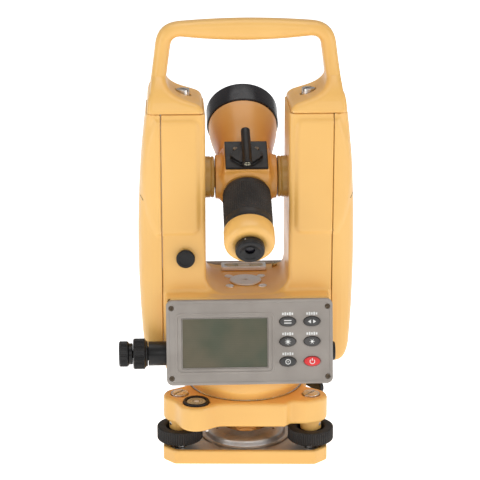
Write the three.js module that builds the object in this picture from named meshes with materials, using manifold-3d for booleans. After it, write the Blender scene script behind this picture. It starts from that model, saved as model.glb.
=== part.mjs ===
// A yellow electronic theodolite on its levelling base (tribrach).
// Millimetres, +Z up. The origin is on the vertical axis, on the underside of the base plate.
// -Y is the side of the front display and, at rest, of the eyepiece; +X is to the right from there.

import * as THREE from "three";
import { mergeVertices } from "three/addons/utils/BufferGeometryUtils.js";
import Module from "manifold-3d";

const wasm = await Module();
wasm.setup();

// ---------------------------------------------------------------------------
// Driving dimensions
// ---------------------------------------------------------------------------

const GAP = 0.3; // air between pieces that rest on, or fit in, each other
const SEGMENTS = 24; // sides of a large round piece
const SMALL_SEGMENTS = 12; // sides of a screw, a shaft or a knob

const HEIGHT = 325;
const TRUNNION_Z = 207.5; // the horizontal axis that the telescope turns about
const TELESCOPE_TILT = THREE.MathUtils.degToRad(28); // objective end up, at rest
const SEAM_Z = 261.5; // joint between the carry handle and the standards
const DECK_Z = 126.5; // top of the housing between the standards
const ALIDADE_BOTTOM_Z = 64;

const STANDARD_INNER_X = 30;
const STANDARD_OUTER_X = 61.7;
const STANDARD_Y = 30; // half depth of the standards
const COVER_X = 80; // furthest reach of the side covers

// Each display panel leans back: its lower edge is further from the axis.
const PANEL_TOP = { y: 46, z: 128 };
const PANEL_BOTTOM = { y: 60, z: 67.5 };
const PANEL_WIDTH = 119.5;
const BEZEL_THICKNESS = 5;
const KEY_SIZE = { x: 11.9, y: 6.9, z: 5.4 };
const KEY_COLUMNS = [28.2, 45.8];
const KEY_ROWS = [14.6, 0, -14.6];
const KEY_PROUD = 1.4; // key tops above the bezel

// Horizontal clamp and tangent knobs, about an axis along X.
const SIDE_KNOB = { y: -42, z: 86 };
// Vertical clamp and tangent knobs on the rear of the left standard, about an axis along Y.
const REAR_KNOB = { x: -43.5, z: 153.5 };

const BASE_TURN = -3; // degrees that the levelling base stands turned from the instrument above it
const FOOT_RADIUS = 56.5; // foot screws from the vertical axis
const FOOT_ANGLES = { left: 210, right: 330, back: 90 };
const FOOT_KNOB_RADIUS = 17;
const BASE_THICKNESS = 10.5;
const LEVELLING_TRAVEL = 3; // the levelling head rises and sinks this far
const TRIBRACH = { bottom: 27, top: 47.5 };
const LEVEL = { x: -36, y: -44.5 }; // circular level
const SPINDLE_RADIUS = 9; // vertical axis
const TRIPOD_THREAD_RADIUS = 7.3;

// ---------------------------------------------------------------------------
// Materials
// ---------------------------------------------------------------------------

function material(color, roughness, metalness) {
  return new THREE.MeshStandardMaterial({ color, roughness, metalness });
}

const yellowPaint = material(0xf0b964, 0.45, 0.0);
const blackPlastic = material(0x2b2829, 0.5, 0.0);
const greyPlastic = material(0x9c948c, 0.6, 0.0);
const redRubber = material(0xd0353a, 0.6, 0.0);
const darkRubber = material(0x55504d, 0.7, 0.0);
const displayGlass = material(0x5c5c48, 0.2, 0.0);
const steel = material(0xb9b9b6, 0.3, 1.0);
const aluminium = material(0xc8c9c8, 0.4, 1.0);
const clearGlass = material(0xbfd0d4, 0.05, 0.0);
const boardGreen = material(0x2f5f3c, 0.6, 0.0);

// ---------------------------------------------------------------------------
// Solid modelling helpers
// ---------------------------------------------------------------------------

// A closed three.js geometry as a solid whose faces point outwards.
function solid(geometry) {
  const bare = geometry.index ? geometry.toNonIndexed() : geometry.clone();
  bare.deleteAttribute("normal");
  bare.deleteAttribute("uv");
  const merged = mergeVertices(bare, 1e-4);
  const build = (triVerts) =>
    new wasm.Manifold(
      new wasm.Mesh({
        numProp: 3,
        vertProperties: merged.attributes.position.array,
        triVerts,
      }),
    );
  const faces = new Uint32Array(merged.index.array);
  const made = build(faces);
  if (made.volume() >= 0) return made;
  return build(faces.reverse());
}

function geometryOf(body) {
  const mesh = body.getMesh();
  const geometry = new THREE.BufferGeometry();
  geometry.setAttribute("position", new THREE.BufferAttribute(mesh.vertProperties, 3));
  geometry.setIndex(new THREE.BufferAttribute(mesh.triVerts, 1));
  const flat = geometry.toNonIndexed();
  flat.computeVertexNormals();
  return flat;
}

function union(...bodies) {
  return bodies.reduce((whole, body) => whole.add(body));
}

function cut(body, ...tools) {
  return tools.reduce((rest, tool) => rest.subtract(tool), body);
}

function moved(body, x, y, z) {
  return body.translate([x, y, z]);
}

// Turned body about Z: profile is a list of [radius, z] that closes on the axis or on itself.
function turned(profile, segments = SEGMENTS) {
  const points = profile.map(([r, z]) => new THREE.Vector2(r, z));
  return solid(new THREE.LatheGeometry(points, segments).rotateX(Math.PI / 2));
}

function rod(radius, z0, z1, segments = SMALL_SEGMENTS) {
  return turned([[0, z0], [radius, z0], [radius, z1], [0, z1]], segments);
}

function ring(outer, inner, z0, z1, segments = SEGMENTS) {
  return turned([[inner, z0], [outer, z0], [outer, z1], [inner, z1], [inner, z0]], segments);
}

function box(x0, x1, y0, y1, z0, z1) {
  const geometry = new THREE.BoxGeometry(x1 - x0, y1 - y0, z1 - z0);
  return solid(geometry.translate((x0 + x1) / 2, (y0 + y1) / 2, (z0 + z1) / 2));
}

function alongX(body) {
  return body.rotate([0, 90, 0]);
}

function alongY(body) {
  return body.rotate([-90, 0, 0]);
}

function polygon(points) {
  return new THREE.Shape(points.map(([x, y]) => new THREE.Vector2(x, y)));
}

// Convex outline with every corner rounded.
function roundedPolygon(points, radius) {
  const shape = new THREE.Shape();
  const corners = points.map(([x, y]) => new THREE.Vector2(x, y));
  corners.forEach((corner, i) => {
    const before = corners[(i + corners.length - 1) % corners.length];
    const after = corners[(i + 1) % corners.length];
    const from = before.clone().sub(corner).setLength(radius).add(corner);
    const to = after.clone().sub(corner).setLength(radius).add(corner);
    if (i === 0) shape.moveTo(from.x, from.y);
    else shape.lineTo(from.x, from.y);
    shape.quadraticCurveTo(corner.x, corner.y, to.x, to.y);
  });
  shape.closePath();
  return shape;
}

function rectangle(width, height, radius) {
  const [x, y] = [width / 2, height / 2];
  return roundedPolygon([[-x, -y], [x, -y], [x, y], [-x, y]], radius);
}

// Outline in XY, from z0 to z1, with an optional bevel that keeps the outline's size.
function slab(shape, z0, z1, bevel = 0, curveSegments = 4) {
  const geometry = new THREE.ExtrudeGeometry(shape, {
    depth: z1 - z0 - 2 * bevel,
    curveSegments,
    bevelEnabled: bevel > 0,
    bevelThickness: bevel,
    bevelSize: bevel,
    bevelOffset: -bevel,
    bevelSegments: 2,
  });
  return solid(geometry.translate(0, 0, z0 + bevel));
}

// Outline in XZ, from y0 to y1.
function slabAlongY(shape, y0, y1, bevel = 0, curveSegments = 4) {
  return slab(shape, -y1, -y0, bevel, curveSegments).rotate([90, 0, 0]);
}

// Outline in YZ, from x0 to x1.
function slabAlongX(shape, x0, x1, bevel = 0, curveSegments = 4) {
  return slab(shape, x0, x1, bevel, curveSegments).rotate([90, 0, 0]).rotate([0, 0, 90]);
}

const theodolite = new THREE.Group();

const base = new THREE.Group();
base.rotation.z = THREE.MathUtils.degToRad(BASE_TURN);
theodolite.add(base);

function piece(name, body, look, group = theodolite) {
  const mesh = new THREE.Mesh(geometryOf(body), look);
  mesh.name = name;
  group.add(mesh);
}

// ---------------------------------------------------------------------------
// Levelling base: base plate, foot screws and spring plate
// ---------------------------------------------------------------------------

const feet = Object.entries(FOOT_ANGLES).map(([side, degrees]) => {
  const angle = THREE.MathUtils.degToRad(degrees);
  return { side, x: FOOT_RADIUS * Math.cos(angle), y: FOOT_RADIUS * Math.sin(angle) };
});

const SCREW_RADIUS = 4.2;
const TRAY = { floor: 3.5, wall: 3.5 }; // the base plate is a shallow tray
const SHEET = 1.5;
const springBottom = TRAY.floor + GAP;
const springTop = springBottom + SHEET;
const knobBottom = 12;
const knobTop = 22.5;
const KNOB_RECESS = { radius: 10.6, floor: 16.5 };
const screwTop = 39.5;

// Plan of the base plate: a triangle with its corners cut, drawn in from the edge by the inset.
function baseOutline(inset) {
  const front = -50;
  const half = [[52, front], [60.8, -41], [60.8, -30], [13, 72]];
  const right = half.map(([x, y]) => [x - inset, y > 0 ? y - inset : Math.max(y, front + inset)]);
  return roundedPolygon([...right, ...right.map(([x, y]) => [-x, y]).reverse()], 4);
}

function basePlate() {
  const plate = slab(baseOutline(0), 0, BASE_THICKNESS, 0, 3);
  const tray = slab(baseOutline(TRAY.wall), TRAY.floor, BASE_THICKNESS + 1, 0, 3);
  const thread = rod(TRIPOD_THREAD_RADIUS, -1, BASE_THICKNESS + 1, 16);
  return cut(plate, tray, thread);
}

// Sheet-steel spring: it fills the tray, holds down the foot screws and has a dished ring in the middle.
function springPlate() {
  const [hole, crown, shoulder, rim] = [17, 12.8, 8.3, 29];
  const dome = turned([[hole, crown - SHEET], [rim - SHEET, shoulder - SHEET], [rim - SHEET, springBottom],
    [rim + 6, springBottom], [rim + 6, springTop], [rim, springTop], [rim, shoulder], [hole, crown],
    [hole, crown - SHEET]]);
  const sheet = slab(baseOutline(TRAY.wall + 1), springBottom, springTop, 0, 3);
  const opening = rod(rim + 3, springBottom - 1, springTop + 1, SEGMENTS);
  const bore = rod(SCREW_RADIUS + GAP, springBottom - 1, springTop + 1);
  const bores = feet.map(({ x, y }) => moved(bore, x, y, 0));
  return union(cut(sheet, opening, ...bores), dome);
}

function footScrew(foot) {
  const rim = FOOT_KNOB_RADIUS;
  const tip = TRAY.floor + GAP;
  const profile = [[0, tip], [SCREW_RADIUS, tip], [SCREW_RADIUS, knobBottom], [rim - 1, knobBottom],
    [rim, knobBottom + 1], [rim, knobTop - 1], [rim - 1, knobTop], [KNOB_RECESS.radius, knobTop],
    [KNOB_RECESS.radius, KNOB_RECESS.floor], [SCREW_RADIUS, KNOB_RECESS.floor], [SCREW_RADIUS, screwTop],
    [0, screwTop]];
  return moved(turned(profile, 20), foot.x, foot.y, 0);
}

piece("base_plate", basePlate(), yellowPaint, base);
piece("spring_plate", springPlate(), steel, base);
for (const foot of feet) piece(`foot_screw_${foot.side}`, footScrew(foot), blackPlastic, base);

// ---------------------------------------------------------------------------
// Tribrach, circular level and clamp lever
// ---------------------------------------------------------------------------

const CAP_RADIUS = 6.4;
const CAP_SEAT_Z = screwTop + LEVELLING_TRAVEL + 1; // the screw's top stays below its cap
const SEAT_RADIUS = 41.3; // foot of the instrument
const SEAT_MARGIN = 1.2; // the recess that takes the foot is this much wider
const SEAT_Z = 43;
const SLEEVE_BORE = 19;
const HUB_RADIUS = 46;
const LEVER_AXIS = { z: 40, azimuth: 30, shaft: 2.2, inner: 35 };
const SCREW_BOSS = { radius: 7.8, bottom: 20.5 }; // hangs in the recess of the foot screw's knob

// One copy of a body at each foot screw.
function atFeet(body) {
  return feet.map(({ x, y }) => moved(body, x, y, 0));
}

function tribrachBody() {
  const { bottom, top } = TRIBRACH;
  const lobe = 12;
  const front = [[-58, -24], [-46, -42], [46, -42], [58, -24], [30, 0], [-30, 0]];
  const brow = [[-34, -36], [-26, -48], [30, -48], [38, -36]];
  const webs = Object.values(FOOT_ANGLES).map((angle) =>
    box(0, FOOT_RADIUS, -lobe, lobe, bottom, top).rotate([0, 0, angle]));
  const metal = union(
    rod(HUB_RADIUS, bottom, top, SEGMENTS),
    slab(roundedPolygon(front, 5), bottom, top),
    slab(roundedPolygon(brow, 4), bottom, top),
    moved(rod(13, bottom - 0.8, top - 1.5, 20), LEVEL.x, LEVEL.y, 0),
    ...webs,
    ...atFeet(rod(lobe, bottom, top, 20)),
    ...atFeet(rod(SCREW_BOSS.radius, SCREW_BOSS.bottom, bottom + 1, 16)),
  );
  const leverBore = alongX(rod(LEVER_AXIS.shaft + GAP, LEVER_AXIS.inner - 1, HUB_RADIUS + 4))
    .rotate([0, 0, LEVER_AXIS.azimuth]).translate([0, 0, LEVER_AXIS.z]);
  return cut(
    metal,
    rod(SEAT_RADIUS + SEAT_MARGIN, SEAT_Z, top + 1, SEGMENTS),
    rod(SLEEVE_BORE, bottom - 1, top, SEGMENTS),
    ring(LEVER_AXIS.inner - 2, SLEEVE_BORE + 5, bottom - 1, SEAT_Z - 4),
    moved(rod(9.5 + GAP, top - 4.5, top, 24), LEVEL.x, LEVEL.y, 0),
    leverBore,
    ...atFeet(rod(SCREW_RADIUS + GAP, SCREW_BOSS.bottom - 1, CAP_SEAT_Z + 1)),
    ...atFeet(rod(CAP_RADIUS + GAP, CAP_SEAT_Z, top + 1)),
  );
}

function screwCap(foot) {
  const top = TRIBRACH.top + 1.6;
  const head = turned([[0, CAP_SEAT_Z + GAP], [CAP_RADIUS, CAP_SEAT_Z + GAP], [CAP_RADIUS, top - 0.6],
    [CAP_RADIUS - 0.6, top], [0, top]], 20);
  const slot = box(-CAP_RADIUS - 1, CAP_RADIUS + 1, -0.7, 0.7, top - 1, top + 1);
  return moved(cut(head, slot), foot.x, foot.y, 0);
}

const levelFloor = TRIBRACH.top - 4.5 + GAP;
const LEVEL_RIM = TRIBRACH.top + 1.5;

function circularLevelHousing() {
  const [outer, inner] = [9.5, 7];
  const cup = turned([[0, levelFloor], [outer, levelFloor], [outer, LEVEL_RIM - 0.5],
    [outer - 0.5, LEVEL_RIM], [inner, LEVEL_RIM], [inner, levelFloor + 1.5], [0, levelFloor + 1.5]]);
  return moved(cup, LEVEL.x, LEVEL.y, 0);
}

function circularLevelVial() {
  const bottom = levelFloor + 1.5 + GAP;
  const vial = turned([[0, bottom], [6.7, bottom], [6.7, LEVEL_RIM - 1.2], [4, LEVEL_RIM - 0.5],
    [0, LEVEL_RIM - 0.3]], 20);
  return moved(vial, LEVEL.x, LEVEL.y, 0);
}

function clampLever() {
  const { z, azimuth, shaft, inner } = LEVER_AXIS;
  const start = HUB_RADIUS + GAP;
  const hub = rod(6, start, start + 4.5).add(rod(shaft, inner, start + 1));
  const grip = box(-3.4, 3.4, 0, 27, start + 1, start + 4.5).add(
    moved(rod(4.4, start + 1, start + 5), 0, 27, 0));
  // The lever turns in a plane square to the side of the tribrach; its grip points forwards, a little up.
  const lever = union(hub, grip.rotate([0, 0, 177]));
  return lever.rotate([0, 90, 0]).rotate([0, 0, azimuth]).translate([0, 0, z]);
}

piece("tribrach_body", tribrachBody(), yellowPaint, base);
for (const foot of feet) piece(`foot_screw_cap_${foot.side}`, screwCap(foot), steel, base);
piece("circular_level_housing", circularLevelHousing(), blackPlastic, base);
piece("circular_level_vial", circularLevelVial(), clearGlass, base);
piece("tribrach_clamp_lever", clampLever(), blackPlastic, base);

// ---------------------------------------------------------------------------
// Horizontal circle and vertical axis
// ---------------------------------------------------------------------------

const LIMB = { radius: 46, floor: TRIBRACH.top + 1, top: ALIDADE_BOTTOM_Z - 1.5, wall: 2.5 };
const SLEEVE = { outer: 15, bottom: TRIBRACH.bottom + GAP, top: 56, flange: 20 };
const SPINDLE = { bottom: 28.5, top: 118, collar: 14, collarBottom: 59.5 };

function limbHousing() {
  const { radius, floor, top, wall } = LIMB;
  const hole = SLEEVE.outer + GAP;
  const foot = SEAT_Z + GAP;
  const inside = floor + wall + 0.5;
  return turned([[hole, foot], [SEAT_RADIUS, foot], [SEAT_RADIUS + 0.7, floor], [radius, floor + 7.5],
    [radius, top], [radius - wall, top], [radius - wall, floor + 8], [SEAT_RADIUS - wall, inside],
    [hole, inside], [hole, foot]], SEGMENTS);
}

function axisSleeve() {
  const { outer, bottom, top, flange } = SLEEVE;
  const bore = SPINDLE_RADIUS + GAP;
  const shoulder = top - 2.5;
  return turned([[bore, bottom], [outer, bottom], [outer, shoulder], [flange, shoulder], [flange, top],
    [bore, top], [bore, bottom]], 24);
}

piece("limb_housing", limbHousing(), yellowPaint);
piece("axis_sleeve", axisSleeve(), steel);
piece("horizontal_circle", ring(38, SLEEVE.outer + GAP, SLEEVE.top + GAP, SLEEVE.top + 2.3), clearGlass);

function verticalAxisSpindle() {
  const { bottom, top, collar, collarBottom } = SPINDLE;
  const collarTop = ALIDADE_BOTTOM_Z - GAP;
  return turned([[0, bottom], [SPINDLE_RADIUS, bottom], [SPINDLE_RADIUS, collarBottom],
    [collar, collarBottom], [collar, collarTop], [SPINDLE_RADIUS, collarTop], [SPINDLE_RADIUS, top],
    [0, top]], 24);
}

piece("vertical_axis_spindle", verticalAxisSpindle(), steel);

// ---------------------------------------------------------------------------
// Alidade: standards, housing, covers and handle
// ---------------------------------------------------------------------------

const PANEL_HEIGHT = Math.hypot(PANEL_BOTTOM.y - PANEL_TOP.y, PANEL_TOP.z - PANEL_BOTTOM.z);
const PANEL_LEAN = Math.atan2(PANEL_BOTTOM.y - PANEL_TOP.y, PANEL_TOP.z - PANEL_BOTTOM.z);
const PANEL_CENTRE = { y: (PANEL_TOP.y + PANEL_BOTTOM.y) / 2, z: (PANEL_TOP.z + PANEL_BOTTOM.z) / 2 };
const WALL = 4;
const POCKET_X = 36; // inner end of the pockets in the standards
const POCKET_Y = 26;
const BEARING_RADIUS = 15.2;
const HOUSING_X = 59.5; // half width of the housing that the displays close
const BOSS = { radius: 8.5, bore: 5.3, reach: 73 }; // carries a clamp ring and a tangent knob
const REAR_BOSS_Y = STANDARD_Y + 6;
const COVER_BOTTOM_Z = 72;

// Takes a body from the panel's own frame (x across, y up the panel, z out of it) to its place.
// The rear panel is the front one turned half a turn about the vertical axis.
function onPanel(body, rear) {
  const leaned = body.rotate([90 - THREE.MathUtils.radToDeg(PANEL_LEAN), 0, 0])
    .translate([0, -PANEL_CENTRE.y, PANEL_CENTRE.z]);
  return rear ? leaned.rotate([0, 0, 180]) : leaned;
}

// Front view of both standards and the floor between them, with round corners at the deck.
function frameOutline() {
  const [outer, inner, fillet, corner] = [STANDARD_OUTER_X, STANDARD_INNER_X, 14, 14];
  const top = SEAM_Z - GAP;
  const bottom = ALIDADE_BOTTOM_Z;
  const shape = new THREE.Shape();
  shape.moveTo(-outer + corner, bottom);
  shape.lineTo(outer - corner, bottom);
  shape.quadraticCurveTo(outer, bottom, outer, bottom + corner);
  shape.lineTo(outer, top);
  shape.lineTo(inner, top);
  shape.lineTo(inner, DECK_Z + fillet);
  shape.quadraticCurveTo(inner, DECK_Z, inner - fillet, DECK_Z);
  shape.lineTo(-inner + fillet, DECK_Z);
  shape.quadraticCurveTo(-inner, DECK_Z, -inner, DECK_Z + fillet);
  shape.lineTo(-inner, top);
  shape.lineTo(-outer, top);
  shape.lineTo(-outer, bottom + corner);
  shape.quadraticCurveTo(-outer, bottom, -outer + corner, bottom);
  return shape;
}

function alidadeFrame() {
  const inset = 2; // the housing stands this far behind the bezels' faces
  const bottom = ALIDADE_BOTTOM_Z;
  const standards = slabAlongY(frameOutline(), -STANDARD_Y, STANDARD_Y, 2);
  const rim = PANEL_BOTTOM.y - inset;
  const brow = PANEL_TOP.y - inset;
  const section = [[48, bottom], [rim, bottom + 6], [brow, DECK_Z]];
  const housing = slabAlongX(
    roundedPolygon([...section, ...section.map(([y, z]) => [-y, z]).reverse()], 3),
    -HOUSING_X, HOUSING_X);
  const sidePockets = [-1, 1].map((side) => {
    const [x0, x1] = side > 0 ? [POCKET_X, STANDARD_OUTER_X + 1] : [-STANDARD_OUTER_X - 1, -POCKET_X];
    return box(x0, x1, -POCKET_Y, POCKET_Y, COVER_BOTTOM_Z + WALL, SEAM_Z - WALL);
  });
  const depth = PANEL_CENTRE.y - STANDARD_Y - 7;
  const seat = rectangle(PANEL_WIDTH + 2 * GAP, PANEL_HEIGHT + 2 * GAP, 4);
  const panelPockets = [false, true].flatMap((rear) => [
    onPanel(slab(seat, -BEZEL_THICKNESS - GAP, 5), rear),
    onPanel(box(-53, 53, -27, 25, -depth, 1), rear),
  ]);
  const bearings = alongX(rod(BEARING_RADIUS + GAP, -50, 50, 24)).translate([0, 0, TRUNNION_Z]);
  const spindleBore = rod(SPINDLE_RADIUS + GAP, bottom - 1, SPINDLE.top + GAP, 24);
  const lightening = ring(27, 15, bottom - 1, DECK_Z - 8, 24);
  const sideBoss = alongX(rod(BOSS.radius, -BOSS.reach, -55, 20)).translate([0, SIDE_KNOB.y, SIDE_KNOB.z]);
  const sideBore = alongX(rod(BOSS.bore, -90, -50, 16)).translate([0, SIDE_KNOB.y, SIDE_KNOB.z]);
  const atRearKnob = (body) => alongY(body).translate([REAR_KNOB.x, 0, REAR_KNOB.z]);
  const rearBoss = atRearKnob(rod(BOSS.radius, STANDARD_Y - 2, REAR_BOSS_Y, 20));
  const rearBore = atRearKnob(rod(BOSS.bore, POCKET_Y - 2, REAR_BOSS_Y + 3, 16));
  const plungerHoles = [
    alongX(rod(BOSS.bore, 55, 66)).translate([0, SIDE_KNOB.y, SIDE_KNOB.z]),
    atRearKnob(rod(BOSS.bore, -STANDARD_Y - 3, -STANDARD_Y + 8)),
  ];
  return cut(union(standards, housing, sideBoss, rearBoss), ...sidePockets, ...panelPockets, bearings,
    spindleBore, lightening, sideBore, rearBore, ...plungerHoles);
}

// Outer edge of a side cover in the front view, from the bottom up.
function coverOutline(reach, inner, bottom, top) {
  const shape = new THREE.Shape();
  shape.moveTo(inner, bottom);
  shape.lineTo(reach - 14, bottom);
  shape.quadraticCurveTo(reach - 6, bottom, reach - 4, bottom + 12);
  shape.quadraticCurveTo(reach + 4.5, bottom + 100, reach - 8, top);
  shape.lineTo(inner, top);
  shape.closePath();
  return shape;
}

// A side cover bulges both ways: it is where its front outline and its plan outline meet.
function coverSolid(reach, inner, bottom, top, halfDepth) {
  const front = slabAlongY(coverOutline(reach, inner, bottom, top), -halfDepth, halfDepth, 0, 5);
  const plan = new THREE.Shape();
  plan.moveTo(inner, -halfDepth);
  plan.quadraticCurveTo(reach + 1, -halfDepth + 3, reach + 0.5, 0);
  plan.quadraticCurveTo(reach + 1, halfDepth - 3, inner, halfDepth);
  plan.closePath();
  return front.intersect(slab(plan, bottom, top, 0, 4));
}

function sideCover(side) {
  const inner = STANDARD_OUTER_X + GAP;
  const bottom = COVER_BOTTOM_Z;
  const top = SEAM_Z - GAP;
  const skin = 2.5;
  const outer = coverSolid(COVER_X, inner, bottom, top, STANDARD_Y + 2);
  const hollow = coverSolid(COVER_X - skin, inner - 1, bottom + skin, top - skin, STANDARD_Y + 2 - skin);
  const cover = cut(outer, hollow);
  return side < 0 ? cover.rotate([0, 0, 180]) : cover;
}

// Front view of the handle: a bow whose legs spread into feet as wide as the standards.
function handleOutline() {
  const inner = STANDARD_INNER_X + 1;
  const outer = 71.5;
  const shape = new THREE.Shape();
  shape.moveTo(outer, SEAM_Z);
  shape.quadraticCurveTo(outer, SEAM_Z + 10, 69.5, 275);
  shape.lineTo(64.8, 308);
  shape.quadraticCurveTo(62.5, 321, 48, 322.6);
  shape.quadraticCurveTo(0, HEIGHT + 2.4, -48, 322.6);
  shape.quadraticCurveTo(-62.5, 321, -64.8, 308);
  shape.lineTo(-69.5, 275);
  shape.quadraticCurveTo(-outer, SEAM_Z + 10, -outer, SEAM_Z);
  shape.lineTo(-inner, SEAM_Z);
  shape.lineTo(-inner, SEAM_Z + 5);
  shape.quadraticCurveTo(-inner, SEAM_Z + 8, -37, SEAM_Z + 9);
  shape.quadraticCurveTo(-58, SEAM_Z + 14, -57.8, 281);
  shape.lineTo(-54, 307);
  shape.quadraticCurveTo(-53, 312.5, -47, 312.5);
  shape.quadraticCurveTo(0, 308.5, 47, 312.5);
  shape.quadraticCurveTo(53, 312.5, 54, 307);
  shape.lineTo(57.8, 281);
  shape.quadraticCurveTo(58, SEAM_Z + 14, 37, SEAM_Z + 9);
  shape.quadraticCurveTo(inner, SEAM_Z + 8, inner, SEAM_Z + 5);
  shape.lineTo(inner, SEAM_Z);
  return shape;
}

const HANDLE_SCREW = { x: 45.5, y: 0, seat: 264.5, radius: 4.9, top: 274 };

function carryHandle() {
  const front = slabAlongY(handleOutline(), -STANDARD_Y, STANDARD_Y, 0, 5);
  const depth = STANDARD_Y - 2;
  const top = HEIGHT + 0.5;
  const side = roundedPolygon([[-depth, SEAM_Z], [depth, SEAM_Z], [depth - 3, 268], [9.5, 300], [8.5, top],
    [-8.5, top], [-9.5, 300], [-depth + 3, 268]], 3);
  const bow = front.intersect(slabAlongX(side, -80, 80));
  const { x, y, seat, radius } = HANDLE_SCREW;
  const seats = [-1, 1].map((way) => moved(rod(radius + 1, seat, seat + 30), way * x, y, 0));
  return cut(bow, ...seats);
}

function handleScrew(way) {
  const { x, y, seat, radius, top } = HANDLE_SCREW;
  const head = turned([[0, seat + GAP], [radius, seat + GAP], [radius, top - 0.6], [radius - 0.6, top],
    [0, top]], 16);
  const slot = box(-radius - 1, radius + 1, -0.7, 0.7, top - 2, top + 1);
  return moved(cut(head, slot), way * x, y, 0);
}

piece("alidade_frame", alidadeFrame(), yellowPaint);
piece("left_side_cover", sideCover(-1), yellowPaint);
piece("right_side_cover", sideCover(1), yellowPaint);
piece("carry_handle", carryHandle(), yellowPaint);
piece("handle_screw_left", handleScrew(-1), steel);
piece("handle_screw_right", handleScrew(1), steel);

const BATTERY = { x0: POCKET_X + 1, x1: POCKET_X + 24, y: 22, z0: 76, z1: 168 };
piece("battery_pack", slab(rectangle(BATTERY.x1 - BATTERY.x0, 2 * BATTERY.y, 3), BATTERY.z0, BATTERY.z1)
  .translate([(BATTERY.x0 + BATTERY.x1) / 2, 0, 0]), darkRubber);

// Trunnion bearings: the flange between the standard and the telescope is what shows.
const SHAFT_RADIUS = 7.5;
for (const [side, way] of [["left", -1], ["right", 1]]) {
  const bush = alongX(ring(BEARING_RADIUS, SHAFT_RADIUS + GAP, 23.2, 40, 24));
  const placed = (way < 0 ? bush.rotate([0, 0, 180]) : bush).translate([0, 0, TRUNNION_Z]);
  piece(`trunnion_bearing_${side}`, placed, yellowPaint);
}

// Deck furniture.
const AXIS_CAP_RADIUS = 11.8;
piece("axis_cap", ring(AXIS_CAP_RADIUS, 1.5, DECK_Z + GAP, DECK_Z + GAP + 1.4), aluminium);
const PLATE_LEVEL = { x: 17, y: 30, halfDepth: 6.5, rise: 3.4 };

function plateLevelHolder() {
  const { x, y, halfDepth, rise } = PLATE_LEVEL;
  const body = box(-x, x, -halfDepth, halfDepth, GAP, rise);
  const trough = box(-x + 2, x - 2, -halfDepth + 1.5, halfDepth - 1.5, 1, rise + 1);
  return cut(body, trough).translate([0, y, DECK_Z]);
}

piece("plate_level_holder", plateLevelHolder(), aluminium);
const vialLength = 2 * (PLATE_LEVEL.x - 2 - GAP);
const vialSection = polygon([[-4.4, 0], [4.4, 0], [3.4, 1.6], [0, 2.3], [-3.4, 1.6]]);
piece("plate_level_vial", slabAlongX(vialSection, -vialLength / 2, vialLength / 2)
  .translate([0, PLATE_LEVEL.y, DECK_Z + 1 + GAP]), clearGlass);

// Spring-plunger caps opposite the two tangent screws.
const plungerCap = turned([[0, 0], [5, 0], [5, 5.6], [6.8, 5.6], [6.8, 7], [6.2, 7.8], [0, 7.8]], 20);
piece("horizontal_plunger_cap", alongX(plungerCap).translate([55.8, SIDE_KNOB.y, SIDE_KNOB.z]),
  blackPlastic);
piece("vertical_plunger_cap", plungerCap.rotate([90, 0, 0])
  .translate([REAR_KNOB.x, -STANDARD_Y + 5.2, REAR_KNOB.z]), blackPlastic);

// ---------------------------------------------------------------------------
// Clamp and tangent knobs
// ---------------------------------------------------------------------------

// Both pairs are the same: a knurled clamp ring, and a tangent knob whose shaft runs through it.
// They are turned about Z with z = 0 at the face of the boss, and point along +Z.
const CLAMP = { radius: 11.2, length: 11, tube: 5 };
const TANGENT = { radius: 9.35, neck: 7.8, length: 7 };

const TANGENT_SHAFT = 2.6;
const clampBore = TANGENT_SHAFT + GAP;
const clampRing = turned([[clampBore, -9], [CLAMP.tube, -9], [CLAMP.tube, GAP], [CLAMP.radius - 1.5, GAP],
  [CLAMP.radius, 1.6], [CLAMP.radius, CLAMP.length - 0.8], [CLAMP.radius - 0.8, CLAMP.length],
  [clampBore, CLAMP.length], [clampBore, -9]], 28);
const neckStart = CLAMP.length + GAP;
const neckEnd = neckStart + 3;
const knobEnd = neckEnd + TANGENT.length;
const tangentKnob = turned([[0, -12], [TANGENT_SHAFT, -12], [TANGENT_SHAFT, neckStart],
  [TANGENT.neck, neckStart], [TANGENT.neck, neckEnd], [TANGENT.radius, neckEnd],
  [TANGENT.radius, knobEnd - 0.6], [TANGENT.radius - 0.6, knobEnd], [0, knobEnd]], 28);

const onSide = (body) => body.rotate([0, -90, 0]).translate([-BOSS.reach, SIDE_KNOB.y, SIDE_KNOB.z]);
const onRear = (body) => alongY(body).translate([REAR_KNOB.x, REAR_BOSS_Y, REAR_KNOB.z]);
piece("horizontal_clamp_ring", onSide(clampRing), blackPlastic);
piece("horizontal_tangent_knob", onSide(tangentKnob), blackPlastic);
piece("vertical_clamp_ring", onRear(clampRing), blackPlastic);
piece("vertical_tangent_knob", onRear(tangentKnob), blackPlastic);

// ---------------------------------------------------------------------------
// Display panels, one on each face
// ---------------------------------------------------------------------------

const WINDOW = { x0: -48.6, x1: 14, y0: -19, y1: 18 }; // display opening in the bezel
const BOARD_Z = -BEZEL_THICKNESS - 1.6;

function keySlab(grow, z0, z1) {
  const shape = rectangle(KEY_SIZE.x + 2 * grow, KEY_SIZE.y + 2 * grow, KEY_SIZE.y / 2 - 0.3);
  return slab(shape, z0, z1, 0, 2);
}

function bezel() {
  const frame = slab(rectangle(PANEL_WIDTH, PANEL_HEIGHT, 4), -BEZEL_THICKNESS, 0);
  const opening = box(WINDOW.x0, WINDOW.x1, WINDOW.y0, WINDOW.y1, -BEZEL_THICKNESS - 1, 1);
  const holes = KEY_COLUMNS.flatMap((x) =>
    KEY_ROWS.map((y) => moved(keySlab(GAP, -BEZEL_THICKNESS - 1, 1), x, y, 0)));
  return cut(frame, opening, ...holes);
}

function display() {
  return box(WINDOW.x0 + GAP, WINDOW.x1 - GAP, WINDOW.y0 + GAP, WINDOW.y1 - GAP, -BEZEL_THICKNESS, -1.2);
}

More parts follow.
